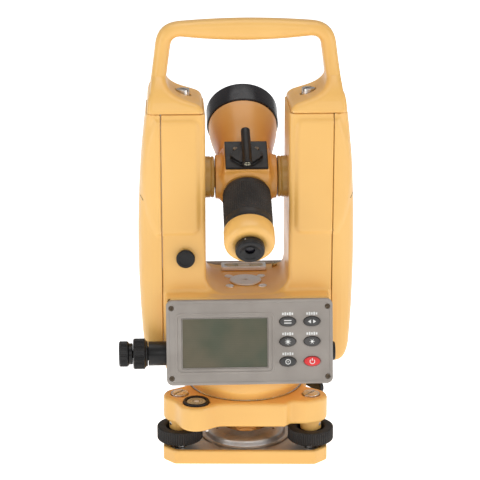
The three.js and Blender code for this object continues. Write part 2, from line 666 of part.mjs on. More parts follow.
for (const [face, rear] of [["front", false], ["rear", true]]) {
  piece(`${face}_bezel`, onPanel(bezel(), rear), greyPlastic);
  piece(`${face}_display`, onPanel(display(), rear), displayGlass);
  KEY_ROWS.forEach((y, row) =>
    KEY_COLUMNS.forEach((x, column) => {
      const power = row === KEY_ROWS.length - 1 && column === KEY_COLUMNS.length - 1;
      const key = moved(keySlab(0, KEY_PROUD - KEY_SIZE.z, KEY_PROUD), x, y, 0);
      piece(`${face}_key_${row + 1}${"ab"[column]}`, onPanel(key, rear), power ? redRubber : darkRubber);
    }));
}
piece("circuit_board", onPanel(box(-50, 50, -26, 24, BOARD_Z - 1.6, BOARD_Z), false), boardGreen);

// ---------------------------------------------------------------------------
// Telescope, built along +Z (towards the objective) about its trunnion axis
// ---------------------------------------------------------------------------

const telescope = new THREE.Group();
telescope.position.z = TRUNNION_Z;
telescope.rotation.x = TELESCOPE_TILT - Math.PI / 2;
theodolite.add(telescope);

const CUBE = { x: 22.4, half: 16 };
const OPTICAL_BORE = 11;
const SIGHT_BLOCK = { x: 16.4, y: -20, z: 14.5 }; // raised face that the open sight is screwed to
const HOOD = { start: 55.3, end: 74, radius: 26.9 };
const FOCUS = { start: -17, end: -53.7, radius: 17.75, tube: 13 };
const BELL = { end: -71.5, radius: 18.2, corner: 4.5 }; // eyepiece housing below the focusing ring
const EYEPIECE = { end: -78, radius: 10.5 };

function telescopeBody() {
  const core = slabAlongX(rectangle(2 * CUBE.half, 2 * CUBE.half, 12), -CUBE.x, CUBE.x, 1.5);
  const shaft = alongX(rod(SHAFT_RADIUS, -56, 42, 24));
  const { x, y, z } = SIGHT_BLOCK;
  const block = box(-x, x, y, -10, -z, z);
  return cut(union(core, shaft, block), rod(OPTICAL_BORE, -30, 30, 24));
}

function objectiveBarrel() {
  const start = CUBE.half + GAP;
  const [root, mouth, wall] = [21.2, 25.6, 2.5];
  return turned([[root - wall - 3, start], [root - 1, start], [root, start + 6], [mouth, HOOD.start - GAP],
    [mouth - wall, HOOD.start - GAP], [root - wall - 3, start]]);
}

function objectiveHood() {
  const { start, end, radius } = HOOD;
  const [seat, mouth] = [22.2, radius - 2.4];
  return turned([[seat, start], [radius - 0.8, start], [radius, start + 0.8], [radius, end - 1],
    [radius - 1, end], [mouth, end], [mouth, start + 7], [seat, start + 7], [seat, start]]);
}

function eyepieceHousing() {
  const start = -CUBE.half - GAP;
  const { tube, end: shoulder } = FOCUS;
  const { end, radius, corner } = BELL;
  const bore = 9;
  return turned([[bore, start], [tube, start], [tube, shoulder - GAP], [radius - 0.6, shoulder - GAP],
    [radius, shoulder - 1], [radius, end + corner], [radius - 0.5, end + corner / 3], [radius - 2, end],
    [bore, end], [bore, start]], 28);
}

piece("telescope_body", telescopeBody(), yellowPaint, telescope);
piece("objective_barrel", objectiveBarrel(), yellowPaint, telescope);
piece("objective_hood", objectiveHood(), blackPlastic, telescope);
piece("objective_lens", turned([[0, 66], [24.2, 66], [24.2, 68], [17, 69.4], [0, 70.4]]), clearGlass,
  telescope);
piece("focus_ring", turned([[FOCUS.tube + GAP, FOCUS.end], [FOCUS.radius - 0.8, FOCUS.end],
  [FOCUS.radius, FOCUS.end + 0.8], [FOCUS.radius, FOCUS.start - 0.8], [FOCUS.radius - 0.8, FOCUS.start],
  [FOCUS.tube + GAP, FOCUS.start], [FOCUS.tube + GAP, FOCUS.end]], 32), blackPlastic, telescope);
piece("eyepiece_housing", eyepieceHousing(), yellowPaint, telescope);

// The eyepiece turns in the end of its housing, on a sleeve that reaches inside.
function eyepieceRing() {
  const { end, radius } = EYEPIECE;
  const [opening, sleeveInner, sleeveOuter, sleeveStart] = [3.2, 6.5, 8.7, -60];
  const shoulder = BELL.end - GAP;
  return turned([[opening, end], [radius - 1, end], [radius, end + 1], [radius, shoulder],
    [sleeveOuter, shoulder], [sleeveOuter, sleeveStart], [sleeveInner, sleeveStart], [sleeveInner, end + 3],
    [opening, end + 3], [opening, end]]);
}

piece("eyepiece_ring", eyepieceRing(), blackPlastic, telescope);
piece("vertical_circle", alongX(ring(24, SHAFT_RADIUS + GAP, -51, -49)), clearGlass, telescope);

// Open sight on the upper face of the telescope: a plate, two cheeks and a tube to look along.
function opticalSight() {
  const face = SIGHT_BLOCK.y - GAP;
  const axis = SIGHT_BLOCK.y - 7.5;
  const plate = box(-15.5, 15.5, face - 2, face, -14.2, 14.2);
  const cheeks = [-1, 1].map((way) => {
    const fin = slabAlongX(polygon([[face - 1, -10], [face - 1, 11], [axis, 9], [axis, -8]]), -1, 1);
    return fin.translate([way * 3.2, 0, 0]);
  });
  const tube = cut(rod(3.6, -16.5, 20), rod(2, -17.5, 21)).translate([0, axis, 0]);
  return union(plate, ...cheeks, tube);
}

piece("optical_sight", opticalSight(), blackPlastic, telescope);

export default theodolite;
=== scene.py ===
"""Looks of an electronic theodolite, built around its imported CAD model.

Lengths are in millimetres, as in the CAD model; a mesh is scaled to metres when it is made.
-Y is the side of the front display, +X is to the right from there, and +Z is up.
"""

import itertools
import math

import bpy
import numpy as np
from mathutils import Matrix, Vector


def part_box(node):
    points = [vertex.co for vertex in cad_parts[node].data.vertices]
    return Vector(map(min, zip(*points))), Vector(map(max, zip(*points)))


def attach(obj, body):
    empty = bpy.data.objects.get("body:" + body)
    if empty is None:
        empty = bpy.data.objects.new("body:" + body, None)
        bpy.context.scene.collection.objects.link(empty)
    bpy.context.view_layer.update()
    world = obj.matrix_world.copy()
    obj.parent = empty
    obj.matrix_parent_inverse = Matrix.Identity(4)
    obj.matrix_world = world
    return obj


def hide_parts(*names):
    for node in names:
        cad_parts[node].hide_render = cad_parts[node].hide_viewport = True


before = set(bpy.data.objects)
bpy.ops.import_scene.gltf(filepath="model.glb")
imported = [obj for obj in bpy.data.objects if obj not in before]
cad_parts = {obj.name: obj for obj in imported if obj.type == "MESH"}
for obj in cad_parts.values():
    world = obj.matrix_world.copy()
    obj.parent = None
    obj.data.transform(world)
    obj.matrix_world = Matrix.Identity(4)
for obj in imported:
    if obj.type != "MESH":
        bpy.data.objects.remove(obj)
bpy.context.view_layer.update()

MM = 0.001
GAP = 0.3  # air between neighbouring pieces, as in the CAD model


def extent(node):
    """Lowest and highest corner of a CAD node, in millimetres."""
    low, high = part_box(node)
    return np.array(low) / MM, np.array(high) / MM


def centre(node):
    low, high = extent(node)
    return (low + high) / 2


# ---------------------------------------------------------------------------
# Meshes
# ---------------------------------------------------------------------------


def make_object(name, vertices, faces, look, place=Matrix.Identity(4)):
    """A mesh piece from millimetre vertices, put in place by a millimetre matrix."""
    mesh = bpy.data.meshes.new(name)
    mesh.from_pydata([tuple(v) for v in vertices], [], faces)
    mesh.validate()
    mesh.transform(Matrix.Scale(MM, 4) @ place)
    mesh.materials.append(look)
    piece = bpy.data.objects.new(name, mesh)
    bpy.context.scene.collection.objects.link(piece)
    return piece


def smooth(piece, angle=35):
    """Smooth shading, with edges sharper than the angle kept sharp."""
    mesh = piece.data
    mesh.polygons.foreach_set("use_smooth", [True] * len(mesh.polygons))
    mesh.set_sharp_from_angle(angle=math.radians(angle))
    return piece


def join(name, pieces):
    """Joins pieces into the first one, which keeps all their materials."""
    first = pieces[0]
    if len(pieces) > 1:
        with bpy.context.temp_override(
            active_object=first, object=first, selected_objects=pieces, selected_editable_objects=pieces
        ):
            bpy.ops.object.join()
    first.name = name
    first.data.name = name
    return first


def settle(piece, body, *nodes):
    """The piece moves with a CAD body and stands for CAD nodes."""
    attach(piece, body)
    if nodes:
        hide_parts(*nodes)
    return piece


# Solids given by a signed distance, negative inside.


def box(x, y, z, low, high, radius=0.0):
    """Distance to a box with rounded edges."""
    deltas = []
    for value, a, b in zip((x, y, z), low, high):
        deltas.append(np.abs(value - (a + b) / 2) - ((b - a) / 2 - radius))
    outside = sum(np.maximum(d, 0) ** 2 for d in deltas)
    inside = np.minimum(np.maximum(np.maximum(deltas[0], deltas[1]), deltas[2]), 0)
    return np.sqrt(outside) + inside - radius


def swept(flat, along, low, high, radius=0.0):
    """Distance to an outline, given by its own flat distance, swept from low to high."""
    depth = np.abs(along - (low + high) / 2) - ((high - low) / 2 - radius)
    shrunk = flat + radius
    outside = np.maximum(shrunk, 0) ** 2 + np.maximum(depth, 0) ** 2
    return np.sqrt(outside) + np.minimum(np.maximum(shrunk, depth), 0) - radius


def rod(u, v, along, centre_uv, size, low, high, radius=0.0):
    """Distance to a cylinder with rounded ends."""
    flat = np.hypot(u - centre_uv[0], v - centre_uv[1]) - size
    return swept(flat, along, low, high, radius)


def polygon(u, v, points):
    """Flat distance to a closed polygon."""
    best = None
    inside = np.zeros(np.broadcast(u, v).shape, bool)
    for (ax, ay), (bx, by) in zip(points, points[1:] + points[:1]):
        ex, ey = bx - ax, by - ay
        t = np.clip(((u - ax) * ex + (v - ay) * ey) / (ex * ex + ey * ey), 0, 1)
        square = (u - ax - t * ex) ** 2 + (v - ay - t * ey) ** 2
        best = square if best is None else np.minimum(best, square)
        if ay != by:
            crossing = ((ay > v) != (by > v)) & (u < ex * (v - ay) / (by - ay) + ax)
            inside ^= crossing
    return np.where(inside, -1, 1) * np.sqrt(best)


def melt(a, b, blend):
    """Union of two distances with a fillet."""
    h = np.maximum(blend - np.abs(a - b), 0) / blend
    return np.minimum(a, b) - h * h * blend / 4


def meet(a, b, blend):
    """Intersection of two distances with a rounded edge."""
    return -melt(-a, -b, blend)


def carve(a, b, blend):
    """The first solid without the second, with a rounded edge."""
    return -melt(-a, b, blend)


def curve_points(start, control, end, count=6):
    """Points of a quadratic curve, without its start."""
    points = []
    for i in range(1, count + 1):
        t = i / count
        points.append(tuple((1 - t) ** 2 * s + 2 * t * (1 - t) * c + t * t * e
                            for s, c, e in zip(start, control, end)))
    return points


def nets(value):
    """Surface nets: the quads that wrap the negative cells of a grid, in grid units."""
    inside = value < 0
    shape = np.array(value.shape)
    corners = list(itertools.product((0, 1), repeat=3))
    count = np.zeros(shape - 1, np.int8)
    for i, j, k in corners:
        count += inside[i:shape[0] - 1 + i, j:shape[1] - 1 + j, k:shape[2] - 1 + k]
    active = (count > 0) & (count < 8)
    cells = np.argwhere(active)
    index = np.full(active.shape, -1, np.int64)
    index[active] = np.arange(len(cells))
    total = np.zeros((len(cells), 3))
    hits = np.zeros(len(cells))
    for a, b in itertools.combinations(corners, 2):
        step = np.array(b) - np.array(a)
        if np.abs(step).sum() != 1:
            continue
        va = value[tuple((cells + a).T)]
        vb = value[tuple((cells + b).T)]
        cross = (va < 0) != (vb < 0)
        t = np.where(cross, va / np.where(cross, va - vb, 1), 0)
        total += np.where(cross[:, None], np.array(a) + t[:, None] * step, 0)
        hits += cross
    vertices = cells + total / hits[:, None]
    quads = []
    for axis in range(3):
        u, v = (axis + 1) % 3, (axis + 2) % 3
        first = np.take(inside, range(shape[axis] - 1), axis)
        second = np.take(inside, range(1, shape[axis]), axis)
        edges = np.argwhere(first != second)
        edges = edges[(edges[:, u] > 0) & (edges[:, v] > 0)]
        edges = edges[(edges[:, u] < shape[u] - 1) & (edges[:, v] < shape[v] - 1)]
        outward = first[tuple(edges.T)]
        du = np.eye(3, dtype=int)[u]
        dv = np.eye(3, dtype=int)[v]
        ring = [index[tuple((edges - shift).T)] for shift in (0 * du, du, du + dv, dv)]
        quad = np.stack(ring, 1)
        quad[~outward] = quad[~outward][:, ::-1]
        quads.append(quad)
    return vertices, np.concatenate(quads)


def slope_of(distance, points, probe):
    """Distances at points, and the unit normals and steepness there."""
    here = distance(*points.T)
    ahead = [distance(*(points + probe * np.eye(3)[i]).T) for i in range(3)]
    slope = np.stack([value - here for value in ahead], 1) / probe
    length = np.maximum(np.linalg.norm(slope, axis=1), 0.3)
    return here, slope / length[:, None], length


def onto_surface(distance, points, step):
    """Moves points onto the surface, by at most a little more than half a grid step."""
    for _ in range(2):
        here, normals, length = slope_of(distance, points, 0.02 * step)
        points = points - normals * np.clip(here / length, -0.6 * step, 0.6 * step)[:, None]
    return points


def sculpt(name, distance, low, high, step, look, place=Matrix.Identity(4), keep=1.0):
    """A piece from a distance function, with its vertices and normals on the true surface.

    keep is the share of the faces that is left; what goes is mostly on flat stretches.
    No vertex ends up outside low..high.
    """
    start = np.array(low, float) - 1.5 * step
    axes = [np.arange(a, b + 2.5 * step, step) for a, b in zip(start, high)]
    x, y, z = axes[0][:, None, None], axes[1][None, :, None], axes[2][None, None, :]
    value = np.broadcast_to(distance(x, y, z), [len(a) for a in axes])
    vertices, quads = nets(np.asarray(value, float))
    points = onto_surface(distance, start + vertices * step, step)
    piece = make_object(name, points, quads.tolist(), look)
    mesh = piece.data
    mesh.transform(Matrix.Scale(1 / MM, 4))
    if keep < 1:
        reduce = piece.modifiers.new("reduce", "DECIMATE")
        reduce.ratio = keep
        held = bpy.context.evaluated_depsgraph_get()
        reduced = bpy.data.meshes.new_from_object(piece.evaluated_get(held))
        piece.modifiers.clear()
        piece.data = reduced
        bpy.data.meshes.remove(mesh)
        mesh = reduced
        mesh.name = name
    points = np.empty(len(mesh.vertices) * 3)
    mesh.vertices.foreach_get("co", points)
    points = np.clip(onto_surface(distance, points.reshape(-1, 3), step), low, high)
    normals = slope_of(distance, points, 0.02 * step)[1] @ np.array(place.to_3x3()).T
    mesh.vertices.foreach_set("co", points.ravel())
    mesh.transform(Matrix.Scale(MM, 4) @ place)
    mesh.polygons.foreach_set("use_smooth", [True] * len(mesh.polygons))
    mesh.normals_split_custom_set_from_vertices([tuple(n) for n in normals])
    return piece


# Turned pieces.


def rounded(profile, radius, count=3):
    """An open profile with each inner corner replaced by a short arc."""
    points = [np.array(p, float) for p in profile]
    result = [tuple(points[0])]
    for before, corner, after in zip(points, points[1:], points[2:]):
        back, ahead = before - corner, after - corner
        reach = min(radius, np.linalg.norm(back) * 0.45, np.linalg.norm(ahead) * 0.45)
        start = corner + back / np.linalg.norm(back) * reach
        end = corner + ahead / np.linalg.norm(ahead) * reach
        result.append(tuple(start))
        result.extend(curve_points(start, corner, end, count))
    result.append(tuple(points[-1]))
    return result


def revolve(name, profile, look, segments=96, place=Matrix.Identity(4), ripple=None, closed=False,
            angle=35):
    """A turned piece about Z. ripple(angle, radius, height) gives the radius of a knurled stretch."""
    turns = np.arange(segments) * 2 * math.pi / segments
    vertices = []
    rows = []
    for r, z in profile:
        if r < 1e-6:
            rows.append([len(vertices)])
            vertices.append((0, 0, z))
            continue
        radii = ripple(turns, r, z) if ripple else np.full(segments, r)
        rows.append(list(range(len(vertices), len(vertices) + segments)))
        vertices.extend(zip(radii * np.cos(turns), radii * np.sin(turns), [z] * segments))
    faces = []
    pairs = list(zip(rows, rows[1:])) + ([(rows[-1], rows[0])] if closed else [])
    for a, b in pairs:
        for i in range(segments):
            j = (i + 1) % segments
            if len(a) == 1 and len(b) == 1:
                continue
            if len(a) == 1:
                faces.append((a[0], b[j], b[i]))
            elif len(b) == 1:
                faces.append((a[i], a[j], b[0]))
            else:
                faces.append((a[i], a[j], b[j], b[i]))
    return smooth(make_object(name, vertices, faces, look, place), angle)


def ribs(count, depth, low, high):
    """A ripple that cuts count grooves along the axis between two heights."""

    def ripple(turns, radius, height):
        if not low < height < high:
            return np.full(len(turns), radius)
        wave = np.clip(0.5 + 0.9 * np.cos(count * turns), 0, 1)
        return radius - depth * (1 - wave)

    return ripple


# ---------------------------------------------------------------------------
# Materials
# ---------------------------------------------------------------------------


def blank(name, colour, roughness, metallic=0.0):
    """A material, its shader, and the piece's own coordinates in metres."""
    look = bpy.data.materials.new(name)
    look.use_nodes = True
    shader = look.node_tree.nodes["Principled BSDF"]
    shader.inputs["Base Color"].default_value = (*colour, 1)
    shader.inputs["Roughness"].default_value = roughness
    shader.inputs["Metallic"].default_value = metallic
    where = look.node_tree.nodes.new("ShaderNodeTexCoord").outputs["Object"]
    return look, shader, where


def noise(look, where, size, detail=3.0, stretch=(1, 1, 1)):
    """Noise whose features are about size metres across."""
    tree = look.node_tree
    mapping = tree.nodes.new("ShaderNodeMapping")
    mapping.inputs["Scale"].default_value = stretch
    tree.links.new(where, mapping.inputs["Vector"])
    texture = tree.nodes.new("ShaderNodeTexNoise")
    texture.inputs["Scale"].default_value = 1 / size
    texture.inputs["Detail"].default_value = detail
    tree.links.new(mapping.outputs["Vector"], texture.inputs["Vector"])
    return texture.outputs["Fac"]


def spread(look, value, low, high, from_low=0.35, from_high=0.65):
    """Maps a value to the range low..high."""
    node = look.node_tree.nodes.new("ShaderNodeMapRange")
    node.inputs["From Min"].default_value = from_low
    node.inputs["From Max"].default_value = from_high
    node.inputs["To Min"].default_value = low
    node.inputs["To Max"].default_value = high
    look.node_tree.links.new(value, node.inputs["Value"])
    return node.outputs["Result"]


def mixed(look, value, first, second):
    """A colour between two others."""
    node = look.node_tree.nodes.new("ShaderNodeMix")
    node.data_type = "RGBA"
    look.node_tree.links.new(value, node.inputs["Factor"])
    for socket, colour in (("A", first), ("B", second)):
        target = next(i for i in node.inputs if i.name == socket and i.type == "RGBA")
        if isinstance(colour, tuple):
            target.default_value = (*colour, 1)
        else:
            look.node_tree.links.new(colour, target)
    return next(o for o in node.outputs if o.type == "RGBA")


def bumpy(look, shader, layers):
    """Chains bump nodes: each layer is a height value, a strength and a depth in metres."""
    normal = None
    for height, strength, depth in layers:
        node = look.node_tree.nodes.new("ShaderNodeBump")
        node.inputs["Strength"].default_value = strength
        node.inputs["Distance"].default_value = depth
        look.node_tree.links.new(height, node.inputs["Height"])
        if normal:
            look.node_tree.links.new(normal, node.inputs["Normal"])
        normal = node.outputs["Normal"]
    look.node_tree.links.new(normal, shader.inputs["Normal"])


def link(look, value, socket):
    look.node_tree.links.new(value, socket)


def enamel(name, dark, light):
    """Satin stove enamel: faint orange peel, slow drift of tone, and a painted highlight that makes convex
    edges paler.
    """
    look, shader, where = blank(name, light, 0.36)
    tone = spread(look, noise(look, where, 0.07, 2), 0, 1, 0.3, 0.7)
    paint = mixed(look, tone, dark, light)
    # Painted highlight: convex edges, found by pointiness, are mixed towards a paler colour as if they caught
    # the light.
    edge = look.node_tree.nodes.new("ShaderNodeNewGeometry").outputs["Pointiness"]
    edge_highlight = spread(look, edge, 0, 0.3, 0.53, 0.62)
    highlight_colour = tuple(0.7 * c + 0.3 for c in light)
    link(look, mixed(look, edge_highlight, paint, highlight_colour), shader.inputs["Base Color"])
    link(look, spread(look, noise(look, where, 0.018, 4), 0.32, 0.44), shader.inputs["Roughness"])
    shader.inputs["Coat Weight"].default_value = 0.25
    shader.inputs["Coat Roughness"].default_value = 0.25
    peel = noise(look, where, 0.0016, 2)
    grain = noise(look, where, 0.0004, 2)
    bumpy(look, shader, [(peel, 0.12, 0.0002), (grain, 0.05, 0.00005)])
    return look


def moulded(name, dark, light, roughness, grain_size=0.0005, strength=0.25):
    """Moulded plastic or rubber with a spark-eroded grain and slightly uneven gloss."""
    look, shader, where = blank(name, light, roughness)
    tone = spread(look, noise(look, where, 0.02, 3), 0, 1)
    link(look, mixed(look, tone, dark, light), shader.inputs["Base Color"])
    gloss = spread(look, noise(look, where, 0.006, 4), roughness - 0.06, roughness + 0.06)
    link(look, gloss, shader.inputs["Roughness"])
    shader.inputs["Specular IOR Level"].default_value = 0.35
    fine = noise(look, where, grain_size, 2)
    bumpy(look, shader, [(fine, strength, 0.00006)])
    return look


def bright_metal(name, dark, light, roughness, stretch=(1, 1, 12)):
    """Turned or rolled metal with fine streaks and a patchy polish."""
    look, shader, where = blank(name, light, roughness, 1.0)
    streaks = noise(look, where, 0.004, 4, stretch)
    link(look, mixed(look, spread(look, streaks, 0, 1, 0.3, 0.7), dark, light), shader.inputs["Base Color"])
    patches = noise(look, where, 0.007, 3)
    link(look, spread(look, patches, roughness - 0.07, roughness + 0.1), shader.inputs["Roughness"])
    bumpy(look, shader, [(streaks, 0.08, 0.00004)])
    return look


def lcd_glass():
    """A blank liquid crystal display behind a glossy pane: olive, with a faint cell grid and warmer patch."""
    look, shader, where = blank("lcd_glass", (0.10, 0.11, 0.065), 0.3)
    drift = spread(look, noise(look, where, 0.03, 2), 0, 1, 0.35, 0.65)
    field = mixed(look, drift, (0.075, 0.085, 0.050), (0.130, 0.110, 0.066))
    tree = look.node_tree
    cells = tree.nodes.new("ShaderNodeTexBrick")
    cells.inputs["Scale"].default_value = 1 / 0.0012
    cells.inputs["Mortar Size"].default_value = 0.03
    cells.inputs["Color1"].default_value = (1, 1, 1, 1)
    cells.inputs["Color2"].default_value = (0.93, 0.93, 0.93, 1)
    cells.inputs["Mortar"].default_value = (0.75, 0.75, 0.75, 1)
    cells.offset = 0
    tree.links.new(where, cells.inputs["Vector"])
    tinted = tree.nodes.new("ShaderNodeMix")
    tinted.data_type = "RGBA"
    tinted.blend_type = "MULTIPLY"
    tinted.inputs["Factor"].default_value = 0.5
    tree.links.new(field, next(i for i in tinted.inputs if i.name == "A" and i.type == "RGBA"))
    tree.links.new(cells.outputs["Color"],
                   next(i for i in tinted.inputs if i.name == "B" and i.type == "RGBA"))
    link(look, next(o for o in tinted.outputs if o.type == "RGBA"), shader.inputs["Base Color"])
    shader.inputs["Coat Weight"].default_value = 1.0
    shader.inputs["Coat Roughness"].default_value = 0.04
    link(look, spread(look, noise(look, where, 0.01, 3), 0.28, 0.4), shader.inputs["Roughness"])
    return look


def glass(name, tint, transmission, roughness=0.03):
    """Glass with faint smears on its surface."""
    look, shader, where = blank(name, tint, roughness)
    link(look, mixed(look, noise(look, where, 0.012, 3), tint, tuple(0.94 * c for c in tint)),
         shader.inputs["Base Color"])
    link(look, spread(look, noise(look, where, 0.004, 3), roughness, roughness + 0.05),
         shader.inputs["Roughness"])
    shader.inputs["Transmission Weight"].default_value = transmission
    shader.inputs["IOR"].default_value = 1.5
    return look


YELLOW = enamel("yellow_enamel", (0.85, 0.480, 0.128), (0.90, 0.530, 0.155))
# Painted shade: a darker copy of the yellow enamel for the telescope body and barrel, which sit in the shade
# of the standards.
SHADED_YELLOW = enamel("yellow_enamel_painted_shade", (0.67, 0.315, 0.062), (0.74, 0.360, 0.080))
# Painted shade: a still darker copy of the yellow enamel for the trunnion bushes, deep in the gap beside the
# standards.
DEEP_SHADED_YELLOW = enamel("yellow_enamel_deep_painted_shade", (0.42, 0.240, 0.045), (0.50, 0.290, 0.060))
BLACK = moulded("black_plastic", (0.006, 0.0055, 0.0055), (0.012, 0.011, 0.011), 0.36)
HOOD_BLACK = moulded("black_hood", (0.010, 0.009, 0.011), (0.018, 0.016, 0.019), 0.24, 0.0008, 0.05)
RUBBER = moulded("knob_rubber", (0.015, 0.013, 0.012), (0.030, 0.026, 0.024), 0.5)
KEY_RUBBER = moulded("key_rubber", (0.055, 0.053, 0.052), (0.085, 0.082, 0.080), 0.55)
RED_RUBBER = moulded("red_rubber", (0.66, 0.035, 0.040), (0.74, 0.050, 0.052), 0.5)
BEZEL_GREY = moulded("bezel_grey", (0.300, 0.270, 0.242), (0.345, 0.312, 0.282), 0.5, 0.0007, 0.2)
WHITE_INK = moulded("white_ink", (0.70, 0.70, 0.68), (0.82, 0.82, 0.80), 0.5, 0.0003, 0.1)
GREY_INK = moulded("pale_grey_ink", (0.50, 0.48, 0.46), (0.58, 0.56, 0.54), 0.5, 0.0003, 0.1)
BATTERY_BLACK = moulded("battery_black", (0.02, 0.02, 0.02), (0.05, 0.05, 0.05), 0.6)
BOARD = moulded("board_green", (0.01, 0.07, 0.025), (0.02, 0.12, 0.045), 0.5, 0.0015, 0.5)
STEEL = bright_metal("turned_steel", (0.60, 0.59, 0.58), (0.72, 0.71, 0.70), 0.27)
SPRING_STEEL = bright_metal("rolled_steel", (0.72, 0.71, 0.70), (0.80, 0.79, 0.78), 0.48, (1, 6, 1))
ALUMINIUM = bright_metal("satin_aluminium", (0.80, 0.79, 0.78), (0.88, 0.87, 0.86), 0.5, (9, 1, 1))
BRASS = bright_metal("brass", (0.48, 0.33, 0.12), (0.66, 0.50, 0.22), 0.3)
DARK_SCREW = bright_metal("browned_screw", (0.10, 0.075, 0.05), (0.24, 0.19, 0.14), 0.4)
LCD = lcd_glass()
CLEAR = glass("clear_glass", (0.88, 0.93, 0.92), 0.9)
VIAL_FLUID = moulded("vial_fluid", (0.50, 0.47, 0.34), (0.60, 0.56, 0.42), 0.14, 0.002, 0.02)
EYE_GLASS = moulded("eye_glass", (0.004, 0.004, 0.006), (0.010, 0.009, 0.014), 0.12, 0.002, 0.02)
LENS = glass("coated_lens", (0.10, 0.07, 0.16), 0.55, 0.02)

# ---------------------------------------------------------------------------
# Places taken from the frame
# ---------------------------------------------------------------------------

TRUNNION_Z = centre("trunnion_bearing_left")[2]
DECK_Z = extent("axis_cap")[0][2] - GAP
SEAM_Z = extent("carry_handle")[0][2]
TOP_Z = extent("carry_handle")[1][2]
ALIDADE_BOTTOM_Z = extent("alidade_frame")[0][2]
STANDARD_Y = 30.0
STANDARD_INNER_X = 30.0
STANDARD_OUTER_X = 61.7
BASE_TURN = math.radians(-3)
TELESCOPE_TILT = math.radians(28)
PANEL_LEAN = math.atan2(14, 60.5)
PANEL_SIZE = (119.5, 62.1)

BASE = Matrix.Rotation(BASE_TURN, 4, "Z")
SCOPE = Matrix.Translation((0, 0, TRUNNION_Z)) @ Matrix.Rotation(TELESCOPE_TILT - math.pi / 2, 4, "X")
FRONT_PANEL = Matrix.Translation((0, -53, 97.75)) @ Matrix.Rotation(math.pi / 2 - PANEL_LEAN, 4, "X")
PANELS = {"front": FRONT_PANEL, "rear": Matrix.Rotation(math.pi, 4, "Z") @ FRONT_PANEL}
SIDE_KNOB = centre("horizontal_clamp_ring")
REAR_KNOB = centre("vertical_clamp_ring")
FEET = {side: (56.5 * math.cos(math.radians(turn)), 56.5 * math.sin(math.radians(turn)))
        for side, turn in (("left", 210), ("right", 330), ("back", 90))}
LEVEL = (-36.0, -44.5)
PLUG = (REAR_KNOB[0] - 1.5, REAR_KNOB[2] + 1.2)  # spring plunger of the vertical tangent screw


def at(x, y, z, parent=Matrix.Identity(4)):
    return parent @ Matrix.Translation((x, y, z))


def shifted(matrix, x, y, z):
    """World positions as positions in a placed frame."""
    inverse = matrix.inverted()
    return [inverse[i][0] * x + inverse[i][1] * y + inverse[i][2] * z + inverse[i][3] for i in range(3)]


def inset(points, amount):
    """A convex polygon, listed anticlockwise, with every side moved inwards."""
    result = []
    for before, corner, after in zip(points[-1:] + points[:-1], points, points[1:] + points[:1]):
        lines = []
        for a, b in ((before, corner), (corner, after)):
            dx, dy = b[0] - a[0], b[1] - a[1]
            length = math.hypot(dx, dy)
            nx, ny = -dy / length, dx / length
            lines.append((nx, ny, nx * a[0] + ny * a[1] + amount))
        (a1, b1, c1), (a2, b2, c2) = lines
        det = a1 * b2 - a2 * b1
        result.append(((c1 * b2 - c2 * b1) / det, (a1 * c2 - a2 * c1) / det))
    return result


def rounded_polygon(u, v, points, radius):
    return polygon(u, v, inset(points, radius)) - radius


def slotted_head(name, radius, height, look, place, slot_width=1.3, slot_depth=1.2, dome=0.5):
    """A round screw head with a real slot, standing on z = 0."""

    def distance(x, y, z):
        head = rod(x, y, z, (0, 0), radius, -1, height, 0.5)
        crown = np.sqrt(x * x + y * y + (z + 4 * radius) ** 2) - (4 * radius + height + dome * 0.2)
        groove = box(x, y, z, (-radius - 1, -slot_width / 2, height - slot_depth),
                     (radius + 1, slot_width / 2, 9), 0.1)
        return carve(meet(head, crown, 0.4), groove, 0.25)

    return sculpt(name, distance, (-radius, -radius, -1), (radius, radius, height), radius / 16, look,
                  place)


# ---------------------------------------------------------------------------
# Levelling base
# ---------------------------------------------------------------------------

PLATE_HALF = [(52, -50), (60.8, -41), (60.8, -30), (13, 72)]
PLATE = PLATE_HALF + [(-x, y) for x, y in reversed(PLATE_HALF)]
PLATE_TOP = extent("base_plate")[1][2]


def base_plate():
    def distance(x, y, z):
        outer = swept(rounded_polygon(x, y, PLATE, 4), z, 0, PLATE_TOP, 0.9)
        well = swept(rounded_polygon(x, y, inset(PLATE, 3.5), 3), z, 3.5, PLATE_TOP + 9, 1.5)
        hub = rod(x, y, z, (0, 0), 12, 1, 8.5, 1)
        body = melt(carve(outer, well, 0.8), hub, 2)
        under = rod(x, y, z, (0, 0), 26, -9, 1.2, 0.4)
        body = np.maximum(body, -np.maximum(under, -(np.hypot(x, y) - 15)))
        thread = np.hypot(x, y) - 7.6 + 0.35 * np.cos(2 * math.pi * z / 2.3 + np.arctan2(y, x))
        return carve(body, thread, 0.5)

    low, high = (-61, -50, 0), (61, 72, PLATE_TOP)
    piece = sculpt("base_plate_shell", distance, low, high, 0.9, YELLOW, BASE, keep=0.35)
    settle(piece, "base", "base_plate")


